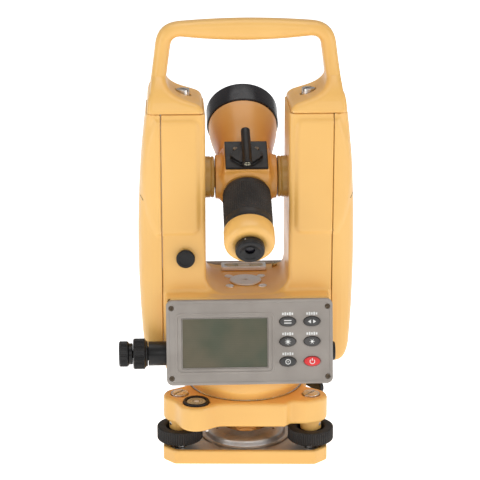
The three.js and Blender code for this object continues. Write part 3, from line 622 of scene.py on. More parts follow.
def spring_plate():
    """Sheet steel: it fills the tray, and a dished ring with a rolled shoulder stands in its middle."""
    sheet = 1.3
    face = [(17.2, 12.6), (25.5, 11.6), (29.6, 9.4), (30.2, 6.6), (30.6, 5.3), (35, 5.3)]
    path = rounded(face, 2.4, 5)
    under = [(max(r - 0.25 * sheet, 16.9) if r < 29 else r - sheet * 0.8, z - sheet) for r, z in path[:-1]]
    under.append((34.6, 5.3 - sheet))
    dome = revolve("dome", path + under[::-1], SPRING_STEEL, 128, BASE, closed=True, angle=50)

    def tray_sheet(x, y, z):
        body = swept(rounded_polygon(x, y, inset(PLATE, 4.8), 3), z, 3.8, 5.3, 0.4)
        body = carve(body, np.hypot(x, y) - 33, 0.2)
        for fx, fy in FEET.values():
            body = carve(body, np.hypot(x - fx, y - fy) - 4.6, 0.3)
        return body

    sheets = sculpt("tray_sheet", tray_sheet, (-57, -46, 3.8), (57, 68, 5.3), 0.6, SPRING_STEEL,
                    BASE, keep=0.2)
    pins = []
    for turn in (205, 335, 90):
        angle = math.radians(turn)
        spot = at(23.5 * math.cos(angle), 23.5 * math.sin(angle), 11.75, BASE)
        pins.append(revolve("pin", [(0, -0.6), (0.9, -0.6), (0.9, 0.18), (0.5, 0.3), (0, 0.3)], DARK_SCREW,
                            16, spot))
    settle(join("spring_plate_sheet", [dome, sheets] + pins), "base", "spring_plate")


def foot_screw(side):
    node = f"foot_screw_{side}"
    low, high = extent(node)
    x, y = FEET[side]
    place = at(x, y, 0, BASE)
    profile = [(4.2, 12), (16.2, 12), (17, 12.8), (17, 21.8), (16.3, 22.5), (11.2, 22.5), (10.6, 21.8),
               (10.6, 16.5), (4.2, 16.5)]
    path = rounded(profile, 0.5, 2)
    rows = []
    for (r0, z0), (r1, z1) in zip(path, path[1:]):
        rows.append((r0, z0))
        if abs(z1 - z0) > 4 and r0 > 16.9:
            rows.extend([(r0, z0 + 0.05), (r1, z1 - 0.05)])
    rows.append(path[-1])
    knob = revolve(f"{node}_knob", rows, RUBBER, 300, place, ribs(60, 0.6, 12.9, 21.7))
    stem = [(0, low[2]), (3.4, low[2]), (4.0, low[2] + 0.8), (4.0, 12)]
    turns = 22
    thread = [(4.15 - 0.4 * (i % 2), 17 + i * (21.5 / (2 * turns))) for i in range(2 * turns)]
    stem += thread + [(3.4, high[2]), (0, high[2])]
    spindle = revolve(f"{node}_spindle", stem, STEEL, 32, place)
    settle(knob, node, node)
    settle(spindle, node)


# ---------------------------------------------------------------------------
# Tribrach
# ---------------------------------------------------------------------------

TRIBRACH_BOTTOM = 28.6
TRIBRACH_TOP = 47.5


def tribrach_body():
    front = [(-46, -42), (46, -42), (58, -24), (30, 0), (-30, 0), (-58, -24)]
    brow = [(-26, -48), (30, -48), (38, -36), (-34, -36)]

    def outline(x, y):
        body = np.hypot(x, y) - 46
        body = melt(body, rounded_polygon(x, y, front, 4), 2)
        body = melt(body, rounded_polygon(x, y, brow, 3), 2)
        for fx, fy in FEET.values():
            turn = math.atan2(fy, fx)
            along = x * math.cos(turn) + y * math.sin(turn)
            across = y * math.cos(turn) - x * math.sin(turn)
            t = np.clip(along, 0, 56.5)
            body = melt(body, np.hypot(along - t, across) - 12, 5)
        return melt(body, np.hypot(x - LEVEL[0], y - LEVEL[1]) - 13.2, 9)

    def distance(x, y, z):
        body = swept(outline(x, y), z, TRIBRACH_BOTTOM, TRIBRACH_TOP, 2.6)
        for fx, fy in FEET.values():
            boss = rod(x, y, z, (fx, fy), 7.8, 20.5, TRIBRACH_BOTTOM + 3, 0.6)
            body = melt(body, boss, 1.2)
        seat = rod(x, y, z, (0, 0), 42.5, 43, 60, 0.3)
        bore = np.hypot(x, y) - 19
        radius = np.hypot(x, y)
        groove = swept(np.abs(radius - 28.5) - 4.5, z, 0, 39, 1.5)
        body = carve(carve(carve(body, seat, 0.8), bore, 1), groove, 1)
        level_seat = rod(x, y, z, LEVEL, 9.8, TRIBRACH_TOP - 4.5, 60, 0.3)
        body = carve(body, level_seat, 0.5)
        for fx, fy in FEET.values():
            around = np.hypot(x - fx, y - fy)
            body = carve(body, np.maximum(around - 4.5, z - 45), 0.5)
            body = carve(body, np.maximum(around - 6.7, 43.4 - z), 0.5)
        along = x * math.cos(LEVER_TURN) + y * math.sin(LEVER_TURN)
        across = y * math.cos(LEVER_TURN) - x * math.sin(LEVER_TURN)
        shaft = np.maximum(np.hypot(across, z - LEVER_Z) - 2.5, 34 - along)
        return carve(body, shaft, 0.4)

    low, high = (-66, -58, 20), (66, 69, TRIBRACH_TOP)
    piece = sculpt("tribrach_casting", distance, low, high, 0.95, YELLOW, BASE, keep=0.4)
    settle(piece, "levelling_head", "tribrach_body")


LEVER_TURN = math.radians(30)
LEVER_Z = 40.0
CAP_SEAT_Z = 43.9  # where the foot screw caps sit on the tribrach
CAP_SLOT_TURN = 0.9  # radians, the same for all three slots


def tribrach_furniture():
    for side, (x, y) in FEET.items():
        node = f"foot_screw_cap_{side}"
        seat = at(x, y, CAP_SEAT_Z, BASE) @ Matrix.Rotation(CAP_SLOT_TURN, 4, "Z")
        cap = slotted_head(f"{node}_head", 6.4, 5.2, STEEL, seat)
        settle(cap, "levelling_head", node)
    x, y = LEVEL
    rim = extent("circular_level_housing")[1][2]
    ring = rounded([(0, 43.3), (9.5, 43.3), (9.5, rim), (7.5, rim - 0.1),
                    (7.3, rim - 1.4), (7.3, 44.8), (0, 44.8)], 0.5, 3)
    settle(revolve("circular_level_ring", ring, BLACK, 64, at(x, y, 0, BASE)),
           "levelling_head", "circular_level_housing")
    level = rim - 0.9
    spot = at(x, y, 0, BASE)
    profile = [(0, 45.1), (7.1, 45.1), (7.1, level - 0.3), (6.7, level), (0, level)]
    fluid = revolve("vial_fluid", profile, VIAL_FLUID, 64, spot)
    marks = []
    for radius, width in ((2.6, 0.24), (4.6, 0.2)):
        ring = [(radius, level - 0.1), (radius + width, level - 0.1), (radius + width, level + 0.06),
                (radius, level + 0.06)]
        marks.append(revolve("ring_mark", ring, BLACK, 48, spot, closed=True))
    dome = [(0, level - 0.1), (1.9, level - 0.1), (1.7, level + 0.12), (0.9, level + 0.22), (0, level + 0.25)]
    bubble = revolve("bubble", dome, WHITE_INK, 32, at(x + 0.3, y + 0.2, 0, BASE))
    settle(join("circular_level_glass", [fluid, bubble] + marks), "levelling_head", "circular_level_vial")

    def set_screw(name, place):
        profile = rounded([(0, 0), (1.5, 0), (1.5, -3), (0, -3)][::-1], 0.3, 2)
        return revolve(name, profile, STEEL, 24, place)

    screws = []
    for x, y in ((-38.5, -50.0), (-28.0, -50.5)):
        seat = at(x, y, TRIBRACH_BOTTOM - 1.6, BASE) @ Matrix.Rotation(math.pi, 4, "X")
        screws.append(set_screw("level_adjusting_screw", seat))
    for side, turn in (("left", -150), ("right", -30)):
        fx, fy = FEET[side]
        turn = math.radians(turn)
        place = at(fx + 7.9 * math.cos(turn), fy + 7.9 * math.sin(turn), 25, BASE)
        seat = place @ Matrix.Rotation(turn, 4, "Z") @ Matrix.Rotation(math.pi / 2, 4, "Y")
        screws.append(set_screw("clamp_set_screw", seat))
    settle(join("tribrach_set_screws", screws), "levelling_head")


def clamp_lever():
    place = BASE @ Matrix.Rotation(LEVER_TURN, 4, "Z") @ Matrix.Translation((0, 0, LEVER_Z))

    def distance(x, y, z):
        hub = rod(y, z, x, (0, 0), 6, 46.3, 50.8, 0.8)
        t = np.clip(-y, 0, 27)
        rise = 0.05 * t
        reach = np.hypot(y + t, z - rise) - (4.4 - 0.9 * np.sin(math.pi * np.clip(t / 27, 0, 1)))
        grip = swept(reach, x, 47.3, 51, 0.9)
        stem = rod(y, z, x, (0, 0), 2.2, 35, 47.5, 0.3)
        return np.minimum(melt(hub, grip, 1.5), stem)

    lever = sculpt("clamp_lever_arm", distance, (35, -32, -6), (51.3, 6, 6.5), 0.5, BLACK,
                   place)
    disc = rounded([(0, 50.2), (3.4, 50.2), (3.4, 51.1), (0, 51.1)], 0.3, 2)
    screw = revolve("lever_screw", disc, STEEL, 32, place @ Matrix.Rotation(math.pi / 2, 4, "Y"))
    settle(join("tribrach_clamp_lever_arm", [lever, screw]), "clamp_lever", "tribrach_clamp_lever")


def limb_housing():
    """The dish between the tribrach and the instrument, with the bright ring that it seats on."""
    low, high = extent("limb_housing")
    top, radius, seat, wall, hole = high[2], 46.0, 41.3, 2.5, 15.5
    outer = [(seat, low[2]), (seat + 0.7, 48.5), (43.2, 51.0), (45.2, 54.0), (radius, 56.2), (radius, top),
             (radius - wall, top), (radius - wall, 56.2), (seat - wall, 51.8), (hole, 51.8), (hole, low[2])]
    dish = revolve("dish", rounded(outer + outer[:1], 1.2, 4)[:-1], YELLOW, 160, closed=True)
    ring = [(seat, 47.5), (42.4, 47.5), (42.8, 47.9), (42.4, 48.3), (seat, 48.3)]
    band = revolve("band", ring, STEEL, 160, closed=True)
    settle(join("limb_dish", [dish, band]), "levelling_head", "limb_housing")


# ---------------------------------------------------------------------------
# Alidade
# ---------------------------------------------------------------------------

PAD_BOTTOM_Z = 173.0  # raised field on the front and rear of each standard
PAD_TOP_Z = SEAM_Z - 5
PAD_INNER_X = 35.5
PAD_RISE = 1.8
BODY_Y = STANDARD_Y - PAD_RISE


def flat_box(u, v, low, high, radius):
    du = np.abs(u - (low[0] + high[0]) / 2) - ((high[0] - low[0]) / 2 - radius)
    dv = np.abs(v - (low[1] + high[1]) / 2) - ((high[1] - low[1]) / 2 - radius)
    return np.hypot(np.maximum(du, 0), np.maximum(dv, 0)) + np.minimum(np.maximum(du, dv), 0) - radius


def pad_region(x, z):
    """Front view of the raised field: square inside, bowed where it reaches over the side cover."""
    inner = flat_box(np.abs(x), z, (PAD_INNER_X, PAD_BOTTOM_Z), (90, PAD_TOP_Z), 5)
    middle = (PAD_BOTTOM_Z + PAD_TOP_Z) / 2
    bow = np.hypot((np.abs(x) - 50) / 25, (z - middle) / 52) - 1
    return np.maximum(inner, bow * 24)


def alidade_frame():
    """The casting: both standards, the housing of the displays between them, and the bosses of the knobs."""
    top = SEAM_Z - GAP
    rim, brow = 57.8, 44.6

    def distance(x, y, z):
        wide = flat_box(x, z, (-90, ALIDADE_BOTTOM_Z), (90, top + 20), 3)
        notch = flat_box(x, z, (-STANDARD_INNER_X, DECK_Z), (STANDARD_INNER_X, top + 40), 14)
        sides = flat_box(x, z, (-STANDARD_OUTER_X, ALIDADE_BOTTOM_Z), (STANDARD_OUTER_X, top + 40), 14)
        fork = carve(wide, notch, 3.5)
        standards = swept(fork, y, -BODY_Y, BODY_Y, 3.2)
        pad = meet(swept(fork, y, -BODY_Y - PAD_RISE, BODY_Y + PAD_RISE, 2), pad_region(x, z), 2.8)
        standards = np.maximum(np.maximum(melt(standards, pad, 2.8), sides), z - top)
        side = [(-48, ALIDADE_BOTTOM_Z), (48, ALIDADE_BOTTOM_Z), (rim, ALIDADE_BOTTOM_Z + 6),
                (brow, DECK_Z + 1.5), (-brow, DECK_Z + 1.5), (-rim, ALIDADE_BOTTOM_Z + 6)]
        housing = swept(rounded_polygon(y, z, side, 3), x, -59.3, 59.3, 2)
        body = carve(melt(standards, carve(housing, notch, 4), 3.5), notch, 0.4)
        boss = rod(y, z, -x, SIDE_KNOB[1:], 7.6, 55, 72.8, 0.8)
        body = melt(body, boss, 2)
        rear_boss = rod(x, z, y, (REAR_KNOB[0], REAR_KNOB[2]), 8.5, 24, STANDARD_Y + 6, 0.8)
        body = melt(body, rear_boss, 2)
        for panel in PANELS.values():
            u, v, w = shifted(panel, x, y, z)
            seat = flat_box(u, v, (-60.1, -31.4), (BEZEL_RIGHT + 0.4, 31.4), 4.3)
            body = carve(body, np.maximum(seat, -5.3 - w), 0.8)
            body = carve(body, box(u, v, w, (-53, -27, -16), (53, 25, 1), 2), 0.5)
        pockets = box(np.abs(x), y, z, (36, -26, 76), (99, 26, 256), 3)
        body = carve(body, pockets, 0.8)
        bearing = np.hypot(y, z - TRUNNION_Z) - 15.5
        body = carve(body, np.maximum(bearing, np.abs(x) - 50), 0.6)
        spindle = np.maximum(np.hypot(x, y) - 9.3, z - 118.3)
        lightening = swept(np.abs(np.hypot(x, y) - 21) - 6, z, 40, DECK_Z - 8, 2)
        body = carve(carve(body, spindle, 0.5), lightening, 0.8)
        side_bore = np.maximum(np.hypot(y - SIDE_KNOB[1], z - SIDE_KNOB[2]) - 5.3, 50 + x)
        plunger = np.maximum(np.hypot(y - SIDE_KNOB[1], z - SIDE_KNOB[2]) - 5.3, 55 - x)
        around_rear = np.hypot(x - REAR_KNOB[0], z - REAR_KNOB[2])
        around_plug = np.hypot(x - PLUG[0], z - PLUG[1])
        rear_bore = np.maximum(around_rear - 5.3, 24 - y)
        front_bore = np.maximum(around_plug - 5.3, y + 22)
        ring_seat = np.maximum(around_plug - 7.6, y + STANDARD_Y - 0.6)
        for hole in (side_bore, plunger, rear_bore, front_bore, ring_seat):
            body = carve(body, hole, 0.4)
        return body

    low, high = (-73, -59, ALIDADE_BOTTOM_Z), (62, 59, top)
    piece = sculpt("alidade_casting", distance, low, high, 1.25, YELLOW, keep=0.35)
    settle(piece, "alidade", "alidade_frame")
    sleeve = rounded([(7.9, 56), (8.9, 56), (8.9, 72.9), (7.9, 72.9)], 0.3, 2)
    turn = at(0, SIDE_KNOB[1], SIDE_KNOB[2]) @ Matrix.Rotation(-math.pi / 2, 4, "Y")
    settle(revolve("side_boss_sleeve", sleeve, BLACK, 96, turn, closed=True), "alidade")


COVER_SCREW_Z = 253.0


def side_cover(side, way):
    """A bulging shell that closes one standard."""
    inner = STANDARD_OUTER_X + GAP
    bottom, top, reach = 72.0, SEAM_Z - GAP, 80.0

    def front_outline(reach):
        points = [(inner - 20, bottom), (reach - 14, bottom)]
        points += curve_points((reach - 14, bottom), (reach - 6, bottom), (reach - 4, bottom + 12), 5)
        points += curve_points((reach - 4, bottom + 12), (reach + 4.5, bottom + 100), (reach - 8, top + 1),
                               12)
        return points + [(reach - 9.5, top + 20), (inner - 20, top + 20)]

    def plan_outline(half):
        points = [(inner - 20, -half)]
        points += [(inner, -half)]
        points += curve_points((inner, -half), (reach + 2, -half + 2), (reach + 2, 0), 10)
        points += curve_points((reach + 2, 0), (reach + 2, half - 2), (inner, half), 10)
        return points + [(inner - 20, half)]

    front, plan = front_outline(reach), plan_outline(BODY_Y + 0.35)

    def shell(x, y, z):
        return meet(polygon(x, z, front), polygon(x, y, plan), 4)

    def distance(x, y, z):
        x = way * x
        solid = shell(x, y, z)
        pad = meet(solid - PAD_RISE, pad_region(x, z), 2.8)
        body = melt(solid, pad, 2.8)
        body = carve(body, solid + 2.6, 0.4)
        skirt = np.maximum(np.abs(z - bottom - 1.4) - 1.4, solid + 0.5)
        body = np.minimum(body, skirt)
        screw = np.hypot(y + 8, z - COVER_SCREW_Z) - 2.6
        body = np.maximum(np.maximum(body, z - top), inner - x)
        return carve(np.maximum(body, bottom - z), np.maximum(screw, 60 - x), 0.5)

    def face(y, z):
        """Distance of the cover's outer face from the middle plane."""
        reaches = np.linspace(reach, inner, 800)
        return reaches[np.argmax(distance(way * reaches, y, z) < 0)]

    low, high = (inner, -32, bottom), (80, 32, top)
    if way < 0:
        low, high = (-80, -32, bottom), (-inner, 32, top)
    name = f"{side}_side_cover"
    cover = sculpt(f"{name}_shell", distance, low, high, 1.1, YELLOW, keep=0.4)
    tilt = Matrix.Rotation(way * math.pi / 2, 4, "Y")
    sunk = at(way * (face(-4, COVER_SCREW_Z) - 1.4), -8, COVER_SCREW_Z) @ tilt
    screw = slotted_head("cover_screw", 2.3, 1.0, DARK_SCREW, sunk)
    # Painted shade: black strips behind the seams of the cover, so the gap shows dark instead of the lit
    # background.
    seam_shade_strips = [plain_box("seam_shade_backing", (way * 61.8, y, bottom + 3), (way * 63.2, y + 1.2, top - 1))
             for y in (-26.2, 25.0)]
    settle(join(f"{name}_shell", [cover, screw] + seam_shade_strips), "alidade", name)
    middle, height = -21.0, TRUNNION_Z - 9
    near, far = face(middle + 2, height), face(middle - 2, height)
    slant = math.atan2(near - far, 4)
    trunnion_mark(side, at(way * (near + far) / 2, middle, height) @ Matrix.Rotation(-way * slant, 4, "Z"))


def plain_box(name, first, second):
    """A black box between two opposite corners."""
    lows, highs = np.minimum(first, second), np.maximum(first, second)
    corners = list(itertools.product(*zip(lows, highs)))
    faces = [(0, 1, 3, 2), (4, 6, 7, 5), (0, 4, 5, 1), (2, 3, 7, 6), (0, 2, 6, 4), (1, 5, 7, 3)]
    return make_object(name, corners, faces, BLACK)


def trunnion_mark(side, place):
    """A short dark line below the height of the trunnion axis."""

    def distance(x, y, z):
        t = np.clip(y, -2.2, 2.2)
        return np.sqrt(x * x + (y - t) ** 2 + (z - 0.6 * t) ** 2) - 0.32

    low, high = (-0.4, -2.6, -1.8), (0.4, 2.6, 1.8)
    line = sculpt(f"{side}_trunnion_mark", distance, low, high, 0.2, DARK_SCREW, place)
    settle(line, "alidade")


HANDLE_SCREW_X = 45.5


def carry_handle():
    """A bow that is thickest at the palm, on feet as broad as the standards."""

    def outer_outline():
        right = [(71.4, SEAM_Z - 10), (71.4, SEAM_Z)]
        right += curve_points((71.4, SEAM_Z), (71.3, SEAM_Z + 8), (69.8, 274), 4)
        right += [(69.1, 274.8), (65.0, 307)]
        right += curve_points((65.0, 307), (63.2, 321.5), (48, 322.9), 8)
        right += curve_points((48, 322.9), (22, TOP_Z), (0, TOP_Z), 8)
        return right + [(-x, z) for x, z in reversed(right[:-1])]

    def inner_outline():
        right = [(31, SEAM_Z - 12), (31, SEAM_Z)]
        right += curve_points((31, SEAM_Z), (31.3, SEAM_Z + 4.5), (36, SEAM_Z + 6.5), 5)
        right += [(46, 271.5)]
        right += curve_points((46, 271.5), (57.5, 276), (57.4, 284), 6)
        right += [(54, 306.5)]
        right += curve_points((54, 306.5), (53, 312.5), (46.5, 312.3), 6)
        right += curve_points((46.5, 312.3), (22, 309.6), (0, 309.6), 8)
        return right + [(-x, z) for x, z in reversed(right[:-1])]

    outer, inner = outer_outline(), inner_outline()
    foot, waist = 28.5, 8.6
    profile = [(-foot, SEAM_Z - 10), (foot, SEAM_Z - 10), (foot, SEAM_Z + 2)]
    profile += curve_points((foot, SEAM_Z + 2), (foot - 3, SEAM_Z + 15), (waist + 4.5, 286), 8)
    profile += curve_points((waist + 4.5, 286), (waist, 297), (waist, 309), 6)
    profile += [(waist, TOP_Z + 30)]
    profile += [(-y, z) for y, z in reversed(profile[2:])]

    def distance(x, y, z):
        bow = np.maximum(polygon(x, z, outer), -polygon(x, z, inner))
        side = polygon(y, z, profile)
        blend = 4 + 3 * np.clip((z - SEAM_Z - 8) / 30, 0, 1)
        body = meet(bow, side, blend)
        for way in (-1, 1):
            seat = rod(x, y, z, (way * HANDLE_SCREW_X, 0), 5.9, 264.5, 290)
            body = carve(body, seat, 0.8)
        return np.maximum(body, SEAM_Z - z)

    low, high = (-72, -29, SEAM_Z), (72, 29, TOP_Z)
    piece = sculpt("carry_handle_bow", distance, low, high, 1.1, YELLOW, keep=0.6)
    settle(piece, "alidade", "carry_handle")
    for side, way in (("left", -1), ("right", 1)):
        node = f"handle_screw_{side}"
        place = at(way * HANDLE_SCREW_X, 0, 264.8) @ Matrix.Rotation(way * 0.7, 4, "Z")
        settle(slotted_head(f"{node}_head", 4.9, 9.2, STEEL, place, slot_depth=2.2), "alidade", node)


def deck_furniture():
    rim = [(1.6, 0.3), (11.8, 0.3), (11.8, 1.5), (8.6, 1.7), (8.3, 1.55), (4.2, 1.55), (3.9, 1.7), (1.6, 1.7)]
    cap = revolve("axis_cap_disc", rounded(rim + rim[:1], 0.3, 2)[:-1], ALUMINIUM, 96,
                  at(0, 0, DECK_Z),
                  closed=True)
    settle(cap, "alidade", "axis_cap")
    screws = []
    for x, y in itertools.product((-12.2, 12.2), (-11.2, 11.2)):
        turn = Matrix.Rotation(x + 0.3 * y, 4, "Z")
        screws.append(slotted_head("deck_screw", 3.2, 0.55, ALUMINIUM, at(x, y, DECK_Z + 0.3) @ turn,
                                   slot_width=0.8, slot_depth=0.5))
    settle(join("deck_screws", screws), "alidade")

    y0 = centre("plate_level_holder")[1]

    def holder(x, y, z):
        body = box(x, y, z, (-17, -6.5, 0.1), (17, 6.5, 3.3), 0.9)
        window = flat_box(x, y, (-14.6, -4.3), (14.6, 4.3), 4.2)
        return carve(body, np.maximum(window, 1 - z), 0.6)

    place = at(0, y0, DECK_Z)
    cradle = sculpt("plate_level_cradle", holder, (-17, -6.5, 0.1), (17, 6.5, 3.3), 0.45, ALUMINIUM,
                    place)
    settle(cradle, "alidade", "plate_level_holder")

    def tube(x, y, z):
        t = np.clip(x, -10.2, 10.2)
        return np.sqrt((x - t) ** 2 + y * y + (z + 0.6) ** 2) - 3.6

    fluid = sculpt("plate_level_tube", tube, (-14, -4, 1.0), (14, 4, 3.1), 0.5, VIAL_FLUID,
                   place)

    def bubble(x, y, z):
        t = np.clip(x, -3.2, 3.2)
        return np.sqrt((x - t) ** 2 + y * y + ((z - 2.75) / 0.35) ** 2) - 1.35

    inner = sculpt("plate_level_bubble", bubble, (-5, -1.4, 2.4), (5, 1.4, 3.3), 0.3, WHITE_INK,
                   place)
    rings = []
    for x in (-6.4, -4.9, 4.9, 6.4):
        turn = at(x, 0, -0.6, place) @ Matrix.Rotation(math.pi / 2, 4, "Y")
        rings.append(revolve("graduation", [(3.6, -0.12), (3.68, -0.12), (3.68, 0.12), (3.6, 0.12)], BLACK,
                             48, turn, closed=True))
    settle(join("plate_level_glass", [fluid, inner] + rings), "alidade", "plate_level_vial")
    profile = rounded([(0, 0), (2.1, 0), (2.1, 3.6), (0, 3.6)], 0.4, 2)
    capstan = revolve("capstan", profile, BRASS, 32, at(23.6, y0 - 1, DECK_Z + 0.8))
    # Painted shade: a dark disc on the capstan's top stands for the shade inside its hole.
    hole = revolve("capstan_hole_shade", [(0, 3.3), (0.8, 3.3), (0.8, 3.65), (0, 3.65)], DARK_SCREW, 16,
                   at(23.6, y0 - 1, DECK_Z + 0.8))
    settle(join("plate_level_adjuster", [capstan, hole]), "alidade")


def plunger_cap(node, place):
    profile = [(0, 0), (5, 0), (5, 5.6), (6.8, 5.6), (6.8, 7.3), (6.2, 7.8), (4.9, 7.8), (4.6, 7.4), (0, 7.4)]
    cap = revolve(f"{node}_plug", rounded(profile, 0.4, 3), BLACK, 72, place)
    settle(cap, "alidade", node)


def trunnion_bearing(side, way):
    place = at(0, 0, TRUNNION_Z) @ Matrix.Rotation(way * math.pi / 2, 4, "Y")
    profile = [(7.8, 23.2), (14.6, 23.2), (15.2, 23.9), (15.2, 25.1), (14.7, 25.4), (14.7, 25.9),
               (15.2, 26.2),
               (15.2, 40), (7.8, 40)]
    path = rounded(profile + profile[:1], 0.3, 2)[:-1]
    # The bush wears the darkest enamel copy: painted shade of the gap between telescope and standard.
    bush = revolve(f"trunnion_bush_{side}", path, DEEP_SHADED_YELLOW, 96, place, closed=True)
    settle(bush, "alidade", f"trunnion_bearing_{side}")


# Knobs of the clamps and tangent screws, turned about Z from the face of their boss.


def knobs(prefix, place):
    clamp = [(2.9, -9), (5, -9), (5, 0.3), (8.6, 0.3), (9.4, 0.6), (9.4, 1.5), (11.2, 2.6), (11.2, 10.2),
             (10.4, 11),
             (8.2, 11), (7.9, 10.7), (2.9, 10.7)]
    rows = knurl_rows(rounded(clamp + clamp[:1], 0.35, 2)[:-1], 11.1)
    ring = revolve(f"{prefix}_clamp_grip", rows, BLACK, 216, place,
                   ribs(54, 0.42, 2.8, 10.0), closed=True)
    settle(ring, f"{prefix}_clamp", f"{prefix}_clamp_ring")
    tangent = [(0, -12), (2.6, -12), (2.6, 11.3), (7.4, 11.3), (7.8, 11.7), (7.8, 14.0), (8.6, 14.3),
               (9.35, 15.1),
               (9.35, 20.5), (8.6, 21.3), (6.6, 21.3), (6.2, 20.9), (0, 20.9)]
    rows = knurl_rows(rounded(tangent, 0.35, 2), 9.3)
    knob = revolve(f"{prefix}_tangent_grip", rows, BLACK, 192, place,
                   ribs(48, 0.3, 15.2, 20.4))
    settle(knob, f"{prefix}_tangent", f"{prefix}_tangent_knob")


def knurl_rows(path, radius):
    """Adds a row just inside each end of the long outer stretches, so that ribs end squarely."""
    rows = []
    for (r0, z0), (r1, z1) in zip(path, path[1:]):
        rows.append((r0, z0))
        if r0 > radius and r1 > radius and abs(z1 - z0) > 3:
            inward = math.copysign(0.25, z1 - z0)
            rows.extend([(r0, z0 + inward), (r1, z1 - inward)])
    rows.append(path[-1])
    return rows


# ---------------------------------------------------------------------------
# Display panels
# ---------------------------------------------------------------------------

WINDOW = ((-48.6, -19), (14, 18))
KEY_COLUMNS = (28.2, 45.8)
KEY_ROWS = (14.6, 0.0, -14.6)
KEY_HALF = (5.8, 3.35)
KEY_PROUD = 1.4
PANEL_SCREWS = list(itertools.product((-56, 57.2), (-25.8, 25.4)))
BEZEL_RIGHT = 61.0


def bezel(face, place):
    half_x, half_y = PANEL_SIZE[0] / 2, PANEL_SIZE[1] / 2
    right = BEZEL_RIGHT

    def distance(u, v, w):
        body = swept(flat_box(u, v, (-half_x, -half_y), (right, half_y), 4.5), w, -5, -0.05, 1.1)
        field = flat_box(u, v, (-half_x + 2.4, -half_y + 2.4), (right - 2.4, half_y - 2.4), 3)
        body = carve(body, np.maximum(field, -0.35 - w), 0.35)
        frame_pad = flat_box(u, v, (-53.2, -22.8), (18.6, 21.6), 4)
        body = melt(body, np.maximum(swept(frame_pad, w, -3, 0.0, 0.35), -3 - w), 0.3)
        step = flat_box(u, v, (-51.6, -21.3), (17.0, 20.2), 3)
        body = carve(body, np.maximum(step, -0.5 - w), 0.3)
        window = flat_box(u, v, *WINDOW, 0.8)
        body = carve(body, window, 0.7)
        for x, y in PANEL_SCREWS:
            around = np.hypot(u - x, v - y)
            body = melt(body, rod(u, v, w, (x, y), 2.7, -3, -0.12, 0.25), 0.4)
            body = carve(body, np.maximum(around - 1.95, -1.2 - w), 0.25)
        for x in KEY_COLUMNS:
            for y in KEY_ROWS:
                ellipse = np.hypot((u - x) / (KEY_HALF[0] + 0.2), (v - y) / (KEY_HALF[1] + 0.2)) - 1
                body = carve(body, ellipse * KEY_HALF[1], 0.3)
        return body

    low, high = (-half_x, -half_y, -5), (right, half_y, 0)
    frame_piece = sculpt(f"{face}_bezel_frame", distance, low, high, 0.55, BEZEL_GREY,
                         place, keep=0.3)
    settle(frame_piece, "alidade", f"{face}_bezel")
    screws = [cross_screw(at(x, y, -1.1, place)) for x, y in PANEL_SCREWS]
    settle(join(f"{face}_bezel_screws", screws), "alidade")


def cross_screw(place):
    def distance(x, y, z):
        head = rod(x, y, z, (0, 0), 1.8, -1, 0.75, 0.35)
        cross = np.minimum(np.maximum(np.abs(x) - 0.3, np.abs(y) - 1.2),
                           np.maximum(np.abs(y) - 0.3, np.abs(x) - 1.2))
        return carve(head, np.maximum(cross, 0.1 - z), 0.15)

    return sculpt("cross_screw", distance, (-2.2, -2.2, -1), (2.2, 2.2, 0.8), 0.2, DARK_SCREW, place)


def display(face, place):
    (x0, y0), (x1, y1) = WINDOW

    def distance(u, v, w):
        pane = box(u, v, w, (x0 + GAP, y0 + GAP, -5), (x1 - GAP, y1 - GAP, -1.2), 0.4)
        return pane

    pane = sculpt(f"{face}_display_pane", distance, (x0, y0, -5), (x1, y1, -1.2), 0.8, LCD,
                  place, keep=0.2)

    def lip(u, v, w):
        ring = np.maximum(flat_box(u, v, (x0 + 0.1, y0 + 0.1), (x1 - 0.1, y1 - 0.1), 0.6),
                          -flat_box(u, v, (x0 + 0.6, y0 + 0.6), (x1 - 0.6, y1 - 0.6), 0.4))
        return swept(ring, w, -1.3, -0.75, 0.1)

    edge = sculpt("lip", lip, (x0, y0, -1.3), (x1, y1, -0.7), 0.3, BEZEL_GREY, place,
                  keep=0.3)
    settle(join(f"{face}_display_pane", [pane, edge]), "alidade", f"{face}_display")


def key_height(x, y):
    """Height of a key's domed top above the bezel, from its centre."""
    r = np.minimum(np.hypot(x / KEY_HALF[0], y / KEY_HALF[1]), 1)
    return KEY_PROUD - 0.55 * r ** 2.6


def key_cap(name, look, place):
    """A key with a domed top and straight sides that reach down into the bezel."""
    dome_rings = (0.3, 0.55, 0.75, 0.88, 0.96)  # shares of the key's half width and half height
    skirt = ((0.995, KEY_PROUD - 0.75), (1.0, KEY_PROUD - 1.1), (1.0, -4.0))
    segments = 48
    turns = np.arange(segments) * 2 * math.pi / segments
    vertices = [(0, 0, KEY_PROUD)]
    for r in dome_rings:
        x, y = r * KEY_HALF[0] * np.cos(turns), r * KEY_HALF[1] * np.sin(turns)
        vertices.extend(zip(x, y, key_height(x, y)))
    for r, z in skirt:
        vertices.extend(zip(r * KEY_HALF[0] * np.cos(turns), r * KEY_HALF[1] * np.sin(turns), [z] * segments))
    faces = [(0, 1 + i, 1 + (i + 1) % segments) for i in range(segments)]
    rows = len(dome_rings) + len(skirt)
    for row in range(rows - 1):
        a, b = 1 + row * segments, 1 + (row + 1) * segments
        faces += [(a + i, b + i, b + (i + 1) % segments, a + (i + 1) % segments) for i in range(segments)]
    last = 1 + (rows - 1) * segments
    faces.append(tuple(range(last + segments - 1, last - 1, -1)))
    return smooth(make_object(name, vertices, faces, look, place), 50)


